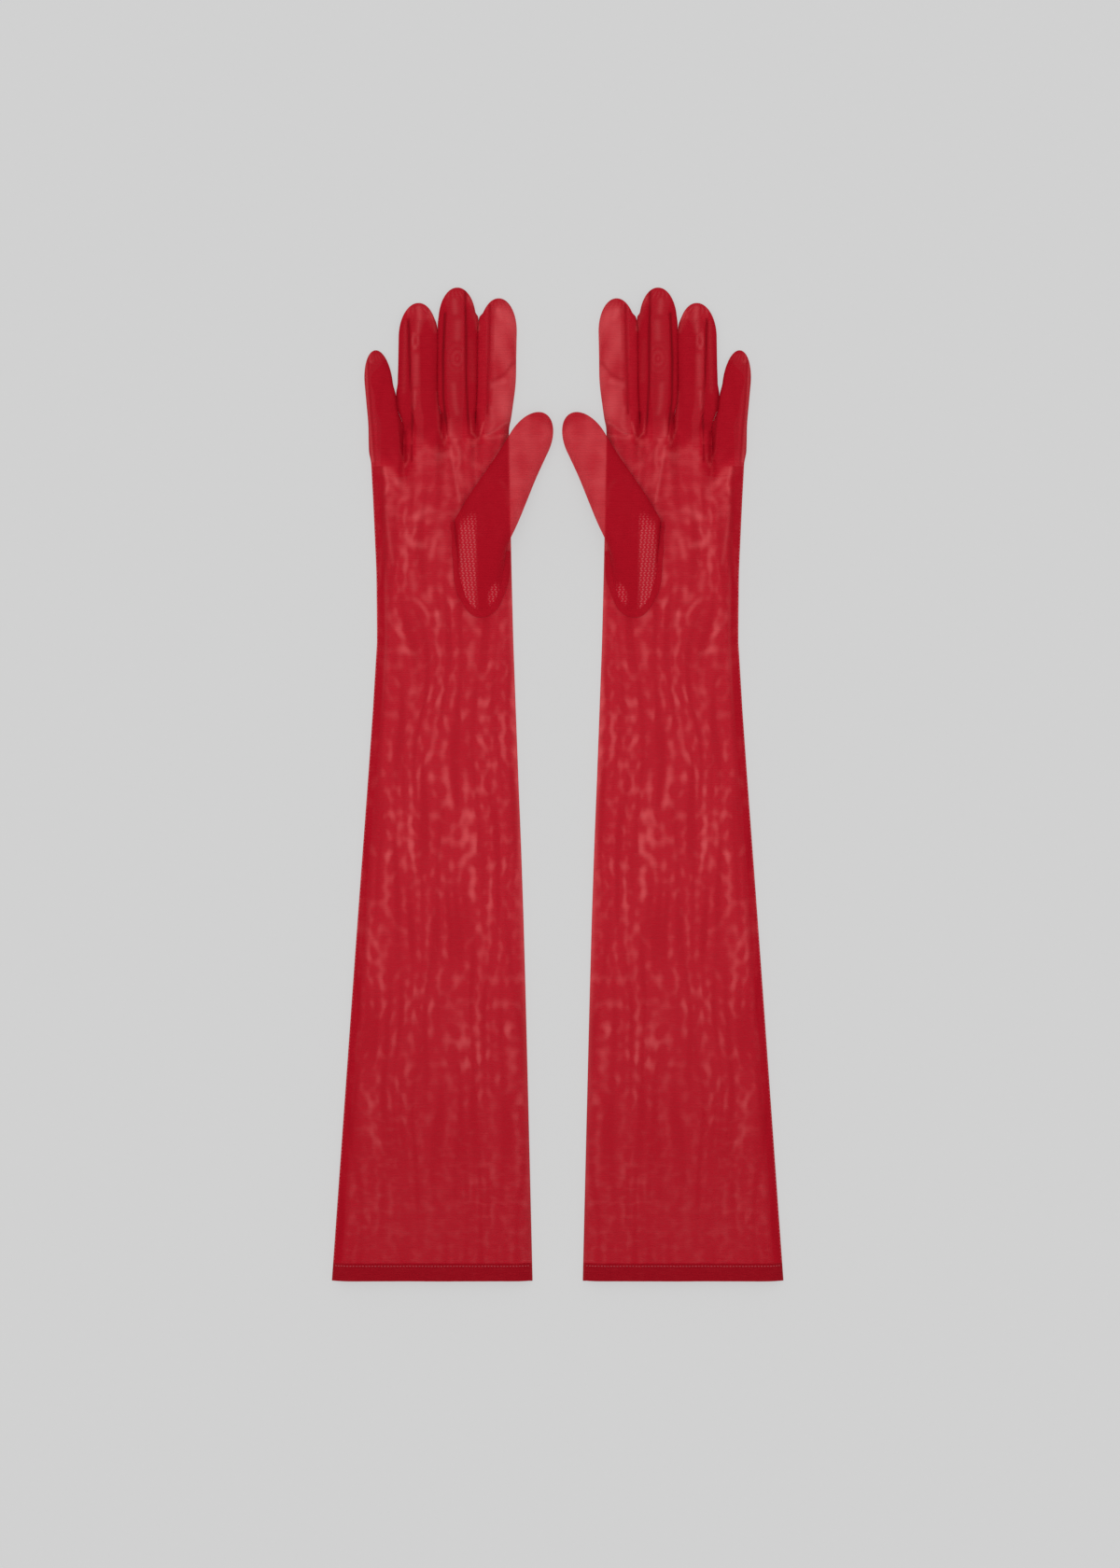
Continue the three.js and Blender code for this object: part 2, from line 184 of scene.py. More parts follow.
def slice_of(node, y):
    """The lowest and highest x of a node's body at one y."""
    co = points_of(node)
    edges = np.array([e.vertices[:] for e in frame["nodes"][node].data.edges])
    a, b = co[edges[:, 0]], co[edges[:, 1]]
    crossing = (a[:, 1] - y) * (b[:, 1] - y) <= 0
    a, b = a[crossing], b[crossing]
    run = b[:, 1] - a[:, 1]
    t = np.where(np.abs(run) > 1e-9, (y - a[:, 1]) / np.where(run == 0, 1, run), 0)
    x = a[:, 0] + (b[:, 0] - a[:, 0]) * np.clip(t, 0, 1)
    return x.min(), x.max()


def rows_of(node, turn=0.0):
    """A node's stations as [distance along, left, right], seen along its own middle line."""
    x, y, _ = points_of(node).T
    c, s = math.cos(turn), math.sin(turn)
    along, across = x * s + y * c, x * c - y * s
    levels = []
    for v in np.sort(along):
        if not levels or v - levels[-1] > 0.3:
            levels.append(v)
    out = []
    for v in levels:
        row = across[np.abs(along - v) < 0.3]
        out.append((v, row.min(), row.max()))
    return np.array(out)


def curve_through(t, ts, vs):
    """A smooth curve through the given values."""
    slopes = np.gradient(vs, ts)
    i = np.clip(np.searchsorted(ts, t) - 1, 0, len(ts) - 2)
    h = ts[i + 1] - ts[i]
    u = np.clip((t - ts[i]) / h, 0, 1)
    a = (2 * u**3 - 3 * u**2 + 1) * vs[i] + (u**3 - 2 * u**2 + u) * h * slopes[i]
    return a + (-2 * u**3 + 3 * u**2) * vs[i + 1] + (u**3 - u**2) * h * slopes[i + 1]


# ---- outlines from the frame

HEM_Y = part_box("right_hem_palm_side")[0].y / MM
HEM_TOP = HEM_Y + HEM_DEPTH
JOINTS = {joint["child"]: joint for joint in frame["joints"]}
FOLD = {f: JOINTS[f"right_{f}_finger"] for f in FINGERS}
FOLD["thumb"] = JOINTS["right_thumb"]
FOOT = {f: FOLD[f]["pos_m"][1] / MM for f in FINGERS}
LOW = {f: FOOT[f] - FOOT_LAP for f in FINGERS}
TOP = {f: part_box(f"right_{f}_palm_side")[1].y / MM for f in FINGERS}
PALM_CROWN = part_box("right_palm_panel")[1].z / MM - CROWN_UNDER
FINGER_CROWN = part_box("right_index_palm_side")[1].z / MM - 0.5


def arm_edges():
    ys = np.concatenate([[HEM_Y, HEM_Y + HEM_DEPTH / 2], np.linspace(HEM_TOP + 0.5, 177, 60)])
    nodes = ["right_hem_back_side"] * 2 + ["right_back_panel"] * 60
    left = [slice_of(n, y)[0] for n, y in zip(nodes, ys)]
    up = np.concatenate([ys, np.linspace(178.5, LOW["index"] + 0.5, 5)])
    right = [slice_of(n, y)[1] for n, y in zip(nodes + ["right_back_panel"] * 5, up)]
    return (ys, np.array(left)), (up, np.array(right))


OUTER, INNER = arm_edges()


def outer(y):
    return np.interp(y, *OUTER)


def inner(y):
    return np.interp(y, *INNER)


FINGER_ROWS = {f: rows_of(f"right_{f}_palm_side") for f in FINGERS}
SLITS = [
    (FINGER_ROWS[a][0, 2] + FINGER_ROWS[b][0, 1]) / 2 for a, b in zip(FINGERS, FINGERS[1:])
]  # x of the slit between each two fingers, at their feet
SLIT_LOW = [LOW["little"], LOW["ring"], LOW["middle"]]

THUMB_TURN = math.atan2(-FOLD["thumb"]["axis"][1], FOLD["thumb"]["axis"][0])
thumb_rows = rows_of("right_thumb_palm_side", THUMB_TURN)
THUMB_ROWS = np.column_stack([thumb_rows[:, 0] - thumb_rows[0, 0], thumb_rows[:, 1:]])
THUMB_START = thumb_rows[0, 0]
THUMB_LONG = THUMB_ROWS[-1, 0]
THUMB_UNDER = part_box("right_thumb_back_side")[0].z / MM
THUMB_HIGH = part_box("right_thumb_palm_side")[1].z / MM - THUMB_SLACK
OVAL_X = (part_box("right_thumb_seam")[0].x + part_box("right_thumb_seam")[1].x) / 2 / MM
OVAL_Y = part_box("right_thumb_insert")[0].y / MM + OVAL_LENGTH / 2


def edges_with_tip(rows, s, tip, leans):
    """Left and right edge along [distance, left, right] rows, and the fullness that rounds the tip."""
    long = rows[-1, 0]
    ts, left, right = rows[rows[:, 0] <= long - tip + 0.5].T
    middle, half = (left + right) / 2, (right - left) / 2
    lean = (middle[-1] - middle[-2]) / (ts[-1] - ts[-2]) if leans else 0
    inside = np.clip(s, 0, ts[-1])
    x = curve_through(inside, ts, middle) + lean * np.maximum(s - ts[-1], 0)
    h = curve_through(inside, ts, half)
    cap = np.sqrt(np.maximum(1 - TIP_BLUNT * np.clip((s - (long - tip)) / tip, 0, 1) ** 2, 0))
    return x - h * cap, x + h * cap, cap


def own_edges(f, s):
    """Edges and fullness of a finger in the frame, at distances above its fold."""
    rows = FINGER_ROWS[f] - (FINGER_ROWS[f][0, 0], 0, 0)
    return edges_with_tip(rows, s, FINGER_TIP, leans=True)


def leaning(f, other, s, edge, other_edge, side):
    """A finger's edge moved up to its neighbour's where the slack cloth of both nearly touches."""
    theirs = own_edges(other, s + FOOT[f] - FOOT[other])[other_edge]
    gap = np.abs(theirs - edge)
    pair = min(FINGERS.index(f), FINGERS.index(other))
    y = s + FOOT[f]
    close = (1 - ease((y - TOUCH_UP_TO[pair]) / 8)) * (1 - ease((gap - 3.2) / 1.2))
    meet = mix(SLITS[pair], (edge + theirs) / 2, ease((y - FOOT[FINGERS[pair + 1]] - 8) / 12))
    return mix(edge, meet - side * TOUCH / 2, close)


def finger_edges(f, s):
    """Left and right edge of a finger's cloth, and how full it is, at distances above its fold."""
    left, right, cap = own_edges(f, s)
    i = FINGERS.index(f)
    foot_left = outer(LOW[f]) if i == 0 else SLITS[i - 1]
    foot_right = inner(LOW[f]) if i == 3 else SLITS[i]
    if i > 0:
        left = leaning(f, FINGERS[i - 1], s, left, 1, -1)
    if i < 3:
        right = leaning(f, FINGERS[i + 1], s, right, 0, 1)
    k = ease((s + FOOT_LAP) / 9)
    return mix(foot_left, left, k), mix(foot_right, right, k), cap


def thumb_edges(s):
    """Edges and fullness of the thumb, square to its middle line."""
    return edges_with_tip(THUMB_ROWS, s, THUMB_TIP, leans=False)


def thumb_place(w, s):
    """Distance across and along the thumb as x and y."""
    c, sn = math.cos(THUMB_TURN), math.sin(THUMB_TURN)
    along = THUMB_START + s
    return w * c + along * sn, -w * sn + along * c


# ---- how the cloth lies

def swell(x, y):
    """Slack of the cloth: long shallow hollows down the sleeve and fine upright ripples."""
    broad = 0.35 * np.sin(x / 11 + 1.3 * np.sin(y / 47)) * np.sin(y / 39 + 0.8)
    mid = 0.2 * np.sin(x / 4.6 + y / 31) * np.sin(y / 17 + x / 23 + 2)
    fine = 0.09 * np.sin(x * 2 * math.pi / 6.4 + 1.6 * np.sin(y / 13) + np.sin(y / 37))
    return broad + mid + fine


# Creases, streaks and seam lines of the right glove: width, strength, then x and y of each point of
# the line they follow.
# Paleness along these lines is partly painted highlight on raised creases, partly pale streaks in the
# cloth.
PALE_AND_HIGHLIGHT_MARKS = [
    (1.17, 0.4, -84.5, 256.9, -85.3, 237, -85.6, 218.5),
    (1.04, 0.34, -87.5, 202.5, -86.9, 185.3),
    (1.4, 0.63, -77.4, 265.5, -76.9, 258.2, -77.4, 252.3),
    (0.65, 0.52, -80, 251, -81.1, 246, -79.5, 242.3, -77.4, 246, -78.4, 250.3),
    (1.56, 0.29, -78.4, 238.4, -79.1, 222.4),
    (1.04, 0.52, -79.5, 218.5, -80.3, 209.2),
    (0.91, 0.86, -71, 262.9, -69.2, 258.9, -68.1, 252.3),
    (1.17, 0.34, -71.8, 260.9, -70, 255.6),
    (1.4, 0.57, -57.5, 269.5, -57, 262.9),
    (1.8, 0.46, -55.6, 256.9, -55.9, 248.3),
    (1.3, 0.46, -57.9, 222.4, -57.2, 211.8, -55.9, 206.5),
    (1.04, 0.92, -49.3, 270.9, -46.6, 264.9, -44.6, 253.6),
    (1.56, 0.57, -47.3, 266.9, -46.3, 259.6),
    (1.56, 0.29, -48.2, 246.3, -47.3, 225.1),
    (1.56, 0.34, -60.5, 202.5, -59.9, 194.6),
    (3, 0.57, -33.3, 263.6, -31.4, 259.6),
    (3, 0.23, -35.3, 254.3, -34.7, 237),
    (2.2, 0.46, -36, 221.8, -29.4, 224.4),
    (1.4, 0.4, -36.7, 209.2, -35.3, 201.2, -37.3, 195.9),
    (1.6, 0.29, -31.4, 206.5, -28.7, 202.5),
    (0.78, 0.57, -23.8, 255.6, -23, 237),
    (0.78, 0.63, -41.3, 193.2, -33.3, 197.9, -27.4, 201.9),
    (0.78, 0.46, -40.6, 192.2, -28, 193.9),
    (0.78, 0.46, -106.8, 237, -106, 217.1, -104.4, 195.9, -103.1, 180),
    (0.65, 0.57, -105.6, 236.4, -103.6, 235, -102.6, 236.4),
    (0.59, 0.4, -88.4, 195.9, -87.5, 185.3, -84.8, 177.1, -81.8, 182.6, -80.8, 195.9),
    (0.52, 0.52, -86.4, 182, -84.8, 184.6, -82.7, 182.6, -84, 179.3),
    (0.59, 0.4, -67.4, 218.5, -66.2, 198.6, -63.2, 189, -61.2, 195.9, -61.7, 206.5),
    (0.59, 0.46, -49.3, 206.5, -47.9, 195.9, -44, 191.9, -41.3, 201.2),
    (0.91, 0.46, -96.4, 176, -94.4, 166.7, -96, 161.4),
    (1.04, 0.4, -95.7, 154.8, -95.3, 146.8, -91.7, 122.9),
    (0.91, 0.52, -59.6, 187.3, -57.9, 176, -54.6, 157.4),
    (1.04, 0.4, -55.2, 187.9, -54.3, 180, -55.9, 174.7),
    (1.56, 0.69, -28, 189.3, -35.3, 179.3),
    (2.2, 0.4, -89.1, 168, -84.4, 164.1),
    (2.4, 0.57, -77.1, 150.1, -71.8, 152.8),
    (2, 0.63, -81.1, 133.8, -75.8, 132.9),
    (1.8, 0.57, -68.5, 135.5, -70.5, 126.9),
    (1.8, 0.34, -81.1, 117.6, -79.8, 108.4),
    (2.2, 0.46, -73.8, 104.4, -71.8, 102.4),
    (1.6, 0.52, -66.5, 95.1, -65.8, 88.5),
    (3, 0.29, -55.9, 172, -51.9, 168),
    (2.6, 0.25, -75.8, 178.7, -65.2, 180),
]
# Darkness along these lines is partly painted shade in sunken creases and folds, partly dark seam and
# fold lines of the cloth.
DARK_AND_SHADE_MARKS = [
    (0.81, 1, -83.1, 258.9, -82.2, 230.4, -80.7, 206.5, -81.1, 194.6, -81.5, 180),
    (0.81, 1, -62.8, 262.2, -64, 237, -63.7, 214.5, -61.5, 194.6),
    (0.81, 1, -51.6, 274.8, -51.1, 254.3, -51.1, 230.4, -50.1, 206.5, -49.3, 194.6),
    (0.81, 0.94, -37.7, 266.9, -38.3, 241, -39.2, 206.5),
    (1.08, 0.61, -35.7, 225.1, -29.4, 228.4, -25.1, 234.4),
    (0.68, 0.55, -39.3, 195.2, -29.4, 199.9),
    (0.68, 0.66, -105.8, 237, -104.7, 217.1, -102.9, 195.9, -101.5, 174.7),
    (1.22, 0.66, -89.7, 218.5, -87.5, 195.9, -86.1, 180),
    (1.3, 0.88, -85.1, 195.9, -84.8, 180),
    (1.35, 0.77, -64.1, 206.5, -63.5, 191.9),
    (1.49, 0.77, -45.5, 206.5, -45, 194.6),
    (1.62, 0.33, -59.9, 180, -56.6, 161.4),
    (2.4, 0.44, -95.7, 184, -87.7, 176),
    (3.5, 0.39, -81.1, 198.6, -67.8, 189.3, -62.5, 187.9),
]


def creases(x, y):
    """Rise, paleness and darkness of the creases and streaks at these points; along the narrow marks,
    which rise or sink, the paleness is painted highlight and the darkness painted shade.
    """
    rise, pale, dark = np.zeros_like(x), np.zeros_like(x), np.zeros_like(x)
    for width, strength, *line in PALE_AND_HIGHLIGHT_MARKS:
        k = near_line(x, y, line, width)
        pale = np.maximum(pale, strength * k)
        rise = np.maximum(rise, 0.5 * strength * k * (width < 1.3))
    for width, strength, *line in DARK_AND_SHADE_MARKS:
        k = near_line(x, y, line, width)
        dark = np.maximum(dark, strength * k)
        rise = rise - 0.3 * strength * k * (width < 1.3)
    return rise, pale, dark


def hand_height(x, y, left=None, right=None):
    """Height of the palm side of sleeve and palm."""
    left = outer(y) if left is None else left
    right = inner(y) if right is None else right
    roll = mix(HAND_ROLL, KNUCKLE_ROLL, ease((y - (LOW["index"] - ROLL_FADE)) / ROLL_FADE))
    edge = dome(np.minimum(x - left, right - x), roll)
    high = PALM_CROWN + swell(x, y) * 0.9
    for slit, low in zip(SLITS, SLIT_LOW):
        depth = VALLEY_DEPTH * ease((y - (low - VALLEY_LENGTH)) / VALLEY_LENGTH)
        high = high - depth * near(x - slit, VALLEY_WIDTH)
    return RIM + np.maximum(high - RIM, 0.3) * edge


def back_height(edge_distance):
    return mix(RIM, BACK_LOW, dome(edge_distance, 3))


# ---- sheets as meshes

def patch(x, y, z, pale=0.0, dark=0.0, net=0.0):
    """Part of a sheet: a grid of points with how pale or dark the cloth looks at each, and how open."""
    x, y, z, pale, dark, net = np.broadcast_arrays(x, y, z, pale, dark, net)
    return {"co": np.stack([x, y, z], -1).astype(float), "pale": pale, "dark": dark, "net": net}


def add_object(name, co, faces):
    """A smooth mesh object from points in millimetres and faces."""
    mesh = bpy.data.meshes.new(name)
    mesh.from_pydata((co * MM).tolist(), [], faces)
    mesh.polygons.foreach_set("use_smooth", [True] * len(mesh.polygons))
    mesh.update()
    ob = bpy.data.objects.new(name, mesh)
    bpy.context.scene.collection.objects.link(ob)
    return ob, mesh


def make_mesh(hand, name, patches, facing_up=True, drop=None):
    """One mesh from patches that meet at shared points. `drop` leaves out cells by their middle."""
    mirrored = hand == "left"
    co = np.concatenate([p["co"].reshape(-1, 3) for p in patches])
    shades = {k: np.concatenate([np.ravel(p[k]) for p in patches]) for k in ("pale", "dark", "net")}
    quads, base = [], 0
    for p in patches:
        n, m = p["co"].shape[:2]
        i = (np.arange(n - 1)[:, None] * m + np.arange(m - 1)[None]).ravel() + base
        quads.append(np.column_stack([i, i + 1, i + m + 1, i + m]))
        base += n * m
    quads = np.concatenate(quads)
    if drop is not None:
        quads = quads[~drop(co[quads].mean(1))]
    _, first, same = np.unique(np.round(co, 2), axis=0, return_index=True, return_inverse=True)
    quads = same.ravel()[quads]
    co = co[first]
    used = np.unique(quads)
    lookup = np.full(len(co), -1)
    lookup[used] = np.arange(len(used))
    shades = {k: v[first][used] for k, v in shades.items()}
    co, quads = co[used], lookup[quads]
    faces = [list(dict.fromkeys(q)) for q in quads.tolist()]
    faces = [f for f in faces if len(f) > 2]
    area = np.cross(co[quads[:, 2]] - co[quads[:, 0]], co[quads[:, 3]] - co[quads[:, 1]])
    if ((area[:, 2].sum() > 0) != facing_up) != mirrored:
        faces = [f[::-1] for f in faces]
    ob, mesh = add_object(f"{hand}_{name}", co * (-1, 1, 1) if mirrored else co, faces)
    mesh.attributes.new("lay", "FLOAT_VECTOR", "POINT").data.foreach_set("vector", co.ravel())
    for k, v in shades.items():
        mesh.attributes.new(k, "FLOAT", "POINT").data.foreach_set("value", v.astype(float))
    mesh.validate()
    mesh.update()
    ob["cloth_area"] = float(np.linalg.norm(area, axis=1).sum() / 2 * MM * MM)
    return ob


EDGE = np.array([0, 0.15, 0.45, 0.95, 1.7])  # places next to a sheet's edge


def columns(left, right, spacing):
    """Places across a sheet, closer together at its two edges."""
    width = right - left
    count = max(2, int(round((width - 2 * EDGE[-1]) / spacing)))
    inside = np.linspace(EDGE[-1], width - EDGE[-1], count + 1)
    return left + np.concatenate([EDGE[:-1], inside, (width - EDGE[:-1])[::-1]])


# ---- sleeve and palm

def palm_blocks(spacing):
    """Grids of x and y over sleeve and palm, stepped at the fingers' feet."""
    top = LOW["little"]
    bounds = [outer(top), *SLITS, inner(top)]
    shares = []
    for i, (a, b) in enumerate(zip(bounds, bounds[1:])):
        count = int(round((b - a) / spacing))
        inside = np.linspace(a, b, count + 1)
        if i == 0:
            inside = np.concatenate([a + EDGE[:-1], np.linspace(a + EDGE[-1], b, count)])
        if i == 3:
            inside = np.concatenate([np.linspace(a, b - EDGE[-1], count), (b - EDGE[:-1])[::-1]])
        shares.append((inside - bounds[0]) / (bounds[-1] - bounds[0]))
    ys = np.linspace(HEM_TOP, top, int((top - HEM_TOP) / STEP))
    t = np.concatenate([shares[0]] + [s[1:] for s in shares[1:]])
    x = outer(ys)[:, None] + (inner(ys) - outer(ys))[:, None] * t[None]
    blocks = [(x, np.repeat(ys[:, None], len(t), 1))]

    def block(first, last, low, high):
        """The fingers first..last between two heights."""
        y = np.linspace(low, high, max(2, int(round((high - low) / STEP)) + 1))[:, None]
        s = np.concatenate([shares[first]] + [q[1:] for q in shares[first + 1 : last + 1]])
        start = bounds[0] + (bounds[-1] - bounds[0]) * s
        shift = (inner(y) - bounds[-1]) * ease((start - SLITS[2]) / (bounds[-1] - SLITS[2]))
        return start[None] + shift, np.repeat(y, len(s), 1)

    blocks.append(block(1, 3, top, LOW["ring"]))
    blocks.append(block(2, 3, LOW["ring"], LOW["middle"]))
    blocks.append(block(3, 3, LOW["middle"], LOW["index"]))
    return blocks


def edge_distance(x, y):
    return np.minimum(x - outer(y), inner(y) - x)


def in_oval(x, y, shrink=0.0):
    a, b = OVAL_WIDTH / 2 - shrink, OVAL_LENGTH / 2 - shrink
    return ((x - OVAL_X) / a) ** 2 + ((y - OVAL_Y) / b) ** 2


def snap_to_oval(x, y):
    """Moves the points next to the hole's edge onto it, for a clean oval."""
    r = np.sqrt(in_oval(x, y, OVAL_LAP))
    close = np.abs(r - 1) * (OVAL_WIDTH / 2) < 0.62
    k = np.where(close, 1 / np.maximum(r, 1e-6), 1)
    return OVAL_X + (x - OVAL_X) * k, OVAL_Y + (y - OVAL_Y) * k


def thumb_shade(x, y):
    """The palm is darker round the thumb's seam, where the seam's layers lie under it."""
    r = np.sqrt(in_oval(x, y, -2.0))
    return 0.35 * near((r - 1) * OVAL_WIDTH / 2, 2.2) * (y < OVAL_Y + 12)


def palm_panel(hand):
    patches = []
    for x, y in palm_blocks(0.95):
        x, y = snap_to_oval(x, y)
        # paleness and darkness of the creases, partly painted highlight and painted shade
        rise, pale, dark = creases(x, y)
        z = hand_height(x, y) + rise * dome(edge_distance(x, y), 4)
        z = np.where((x - outer(y) < 1e-6) | (inner(y) - x < 1e-6), RIM, z)
        # painted highlight along the rolled edge on the thumb side
        rim = 0.7 * near(inner(y) - x, 1.7)
        # darker over the side seam's folded allowance: partly its own red, partly painted shade
        band = 0.62 * ease((8.2 - (x - outer(y))) / 3.2) * (x - outer(y) > 0.8)
        edge_line = 0.3 * near(x - outer(y) - 5.2, 0.7) * ease((y - 20) / 40)
        pale = np.maximum.reduce([pale, rim, edge_line * (y < 150)])
        dark = np.maximum.reduce([dark, band, thumb_shade(x, y)])
        patches.append(patch(x, y, z, pale, dark))
    in_hole = lambda middles: in_oval(middles[:, 0], middles[:, 1], OVAL_LAP) < 1
    return make_mesh(hand, "palm_cloth", patches, drop=in_hole)


def back_panel(hand):
    patches = []
    for x, y in palm_blocks(1.6):
        z = back_height(edge_distance(x, y)) + 0.05 * np.abs(swell(x, y))
        z = np.where((x - outer(y) < 1e-6) | (inner(y) - x < 1e-6), RIM, z)
        patches.append(patch(x, y, z))
    return make_mesh(hand, "back_cloth", patches, facing_up=False)


def side_seam(hand):
    """The seam's allowance, two layers turned inside along the little-finger edge."""
    ys = np.linspace(HEM_TOP, LOW["little"], 180)[:, None]
    u = np.linspace(0, 1, 9)[None]
    width = SIDE_SEAM_WIDTH + 0.35 * np.sin(ys / 23) + 0.2 * np.sin(ys / 7)
    along = np.abs(2 * u - 1)
    x = outer(ys) + 0.5 + width * (1 - along**2)
    z = mix(0.72, 1.25, u) + 0 * ys
    dark = np.where(u > 0.8, 0.2, 0.0) + 0 * ys
    return make_mesh(hand, "side_seam_allowance", [patch(x, ys + 0 * u, z, 0, dark)])


# ---- hem

def hem_side(hand, palm):
    """One side of the hem: the sleeve's end turned up inside, as two layers joined by a fold."""
    name = "palm" if palm else "back"
    top = HEM_TOP
    outside = np.linspace(top, HEM_Y + 0.25, 14)
    turn = np.radians(np.linspace(0, 180, 7))[1:-1]
    inside = np.linspace(HEM_Y + 0.25, top - 0.15, 13)
    down = np.concatenate([outside, HEM_Y + 0.25 - 0.25 * np.sin(turn), inside])
    deep = np.concatenate([0 * outside, (1 - np.cos(turn)) / 2, 1 + 0 * inside])[:, None]
    t = (columns(outer(HEM_Y), inner(HEM_Y), 1.1) - outer(HEM_Y)) / (inner(HEM_Y) - outer(HEM_Y))
    ys = down[:, None] + 0 * t[None]
    x = outer(ys) + (inner(ys) - outer(ys)) * t[None]
    middle = (outer(ys) + inner(ys)) / 2
    x = mix(x, middle, 0.012 * deep)
    if palm:
        lift = 0.25 * np.sin(x / 9 + 2) * dome(edge_distance(x, ys), 12)
        z = hand_height(x, ys) + lift * ease((top - ys) / 8)
        z = np.maximum(z - HEM_TURN * deep * dome(edge_distance(x, ys), 2), RIM + 0.04 * deep)
    else:
        peek = HEM_PEEK * (0.55 + 0.45 * np.sin(x / 13 + 1)) * ease((top - ys) / 9)
        z = back_height(edge_distance(x, ys)) + HEM_TURN * deep * dome(edge_distance(x, ys), 2) * 0.8
        ys = ys - peek
    dark = 0.25 * near(ys - top + 1.9, 1.0) + 0 * x
    # painted highlight along the hem's thumb-side edge
    pale = 0.4 * near(inner(ys) - x, 0.8)
    return make_mesh(hand, f"hem_{name}", [patch(x, ys, z, pale, dark)], facing_up=palm)


# ---- fingers

def distances(long, tip):
    """Distances along a finger or the thumb, closer together at the tip."""
    body = np.arange(-FOOT_LAP, long - tip, FINE)
    return np.concatenate([body, long - tip + tip * np.sin(np.radians(np.linspace(0, 90, 30)))])


def finger_rows(f):
    return distances(TOP[f] - FOOT[f], FINGER_TIP)


def finger_height(f, x, y, s, left, right, cap):
    """Height of a finger's palm side, low along a fold or seam and higher along a side strip."""
    i = FINGERS.index(f)
    half = np.maximum((right - left) / 2, 0.01)
    roll = np.minimum(FINGER_ROLL, half * 0.95)
    rise_left, rise_right = dome(x - left, roll), dome(right - x, roll)
    wall = RIM + (WALL_TOP - RIM) * cap
    low_left = RIM if i == 0 else wall
    low_right = RIM if i == 3 else wall
    share = np.clip((x - left) / (2 * half), 0, 1)
    low = mix(low_left, low_right, ease(share))
    crown = RIM + (FINGER_CROWN - RIM) * cap + 0.25 * np.sin(s / 7 + i * 2) * cap
    own = low + (crown - low) * np.minimum(rise_left, rise_right)
    palm = hand_height(
        x, y, left if i == 0 else outer(177.0) - 40, right if i == 3 else inner(195.0) + 40
    )
    return mix(palm, own, ease((s + FOOT_LAP) / FOOT_EASE))


def finger_marks(f, x, y, s, left, right, long):
    """Rise, paleness and darkness of a finger's palm side. The paleness includes painted glints on the
    tip's puckers and painted highlight along the index finger's wrinkles; the darkness over the side
    strips is partly their own red, partly painted shade.
    """
    rise, pale, folds = creases(x, y)
    dark = np.zeros_like(x)
    u = (x - left) / np.maximum(right - left, 0.01)
    tip = ease((s - (long - 12)) / 8)
    across = (u - 0.5) * 2
    pucker = np.abs(np.sin(across * 9 + s * 0.5)) * tip * (1 - ease((s - long + 3) / 3))
    rise = rise + 0.22 * pucker
    # painted glints on the puckers at the tip
    pale = np.maximum(pale, 0.45 * pucker**4)
    above_foot = ease((s + FOOT_LAP) / 12)
    # darker above the foot, for the strips beneath: partly their red, partly painted shade
    dark = np.maximum(dark, (0.62 if f == "middle" else 0.42) * above_foot)
    if f == "index":
        clear = ease((u - 0.36) / 0.1) * above_foot
        # painted highlight along the index finger's wrinkles
        wrinkle_highlight = np.sin(s / 5.5 + 3 * u) * np.sin(x / 3.4 + s / 19)
        pale = np.maximum(pale, clear * (0.34 + 0.26 * wrinkle_highlight) * (1 - 0.6 * tip))
        dark = dark * (1 - 0.8 * clear)
    if f == "middle":
        r = np.hypot(x - MOIRE_RINGS[0], (y - MOIRE_RINGS[1]) * 0.7)
        rings = (0.5 + 0.5 * np.cos(r * 2 * math.pi / 2.6)) * near(r, 5)
        pale = np.maximum(pale, 0.4 * rings)
    if f == "little":
        dark = np.maximum(dark, 0.75 * ease((u - 0.2) / 0.08) * above_foot)
    if f in ("ring", "middle"):
        seam_left = STRIP_DEPTH[(f, -1)] / np.maximum(right - left, 1)
        seam_right = 1 - STRIP_DEPTH[(f, 1)] / np.maximum(right - left, 1)
        between = ease((u - seam_left) / 0.05) * ease((seam_right - u) / 0.05)
        # darker bands over the strips: partly their red, partly painted shade
        dark = np.maximum(dark, 0.75 * (1 - between) * (1 - tip) * above_foot)
    dark = np.maximum(dark, 0.45 * ease((s - (long - 8)) / 6))
    # with the dark marks' painted shade along creases and folds
    return rise, np.minimum(1.35 * pale, 1), dark + 0.85 * folds


def finger_side(hand, f, palm):
    s = finger_rows(f)[:, None]
    left, right, cap = finger_edges(f, s)
    t = spread(27 if palm else 17)[None]
    x = left + (right - left) * t
    y = FOOT[f] + s + 0 * t
    long = TOP[f] - FOOT[f]
    if palm:
        rise, pale, dark = finger_marks(f, x, y, s, left, right, long)
        room = dome(np.minimum(x - left, right - x), 3)
        z = finger_height(f, x, y, s, left, right, cap) + rise * room * ease((s + FOOT_LAP) / 3)
        return make_mesh(hand, f"{f}_palm_cloth", [patch(x, y, z, pale, dark)])
    z = back_height(np.minimum(x - left, right - x))
    dark = 0.4 * ease((s - (long - 8)) / 6) + 0 * x
    return make_mesh(hand, f"{f}_back_cloth", [patch(x, y, z, 0, dark)], facing_up=False)


def strip_depth(f, side, s, left, right):
    long = TOP[f] - FOOT[f]
    end = long - STRIP_END
    depth = STRIP_DEPTH[(f, side)] * (1 - ease((s - (end - 14)) / 14) ** 2 * 0.85)
    return np.minimum(depth + 0.4 * np.sin(s / 9 + side), (right - left) * 0.78)


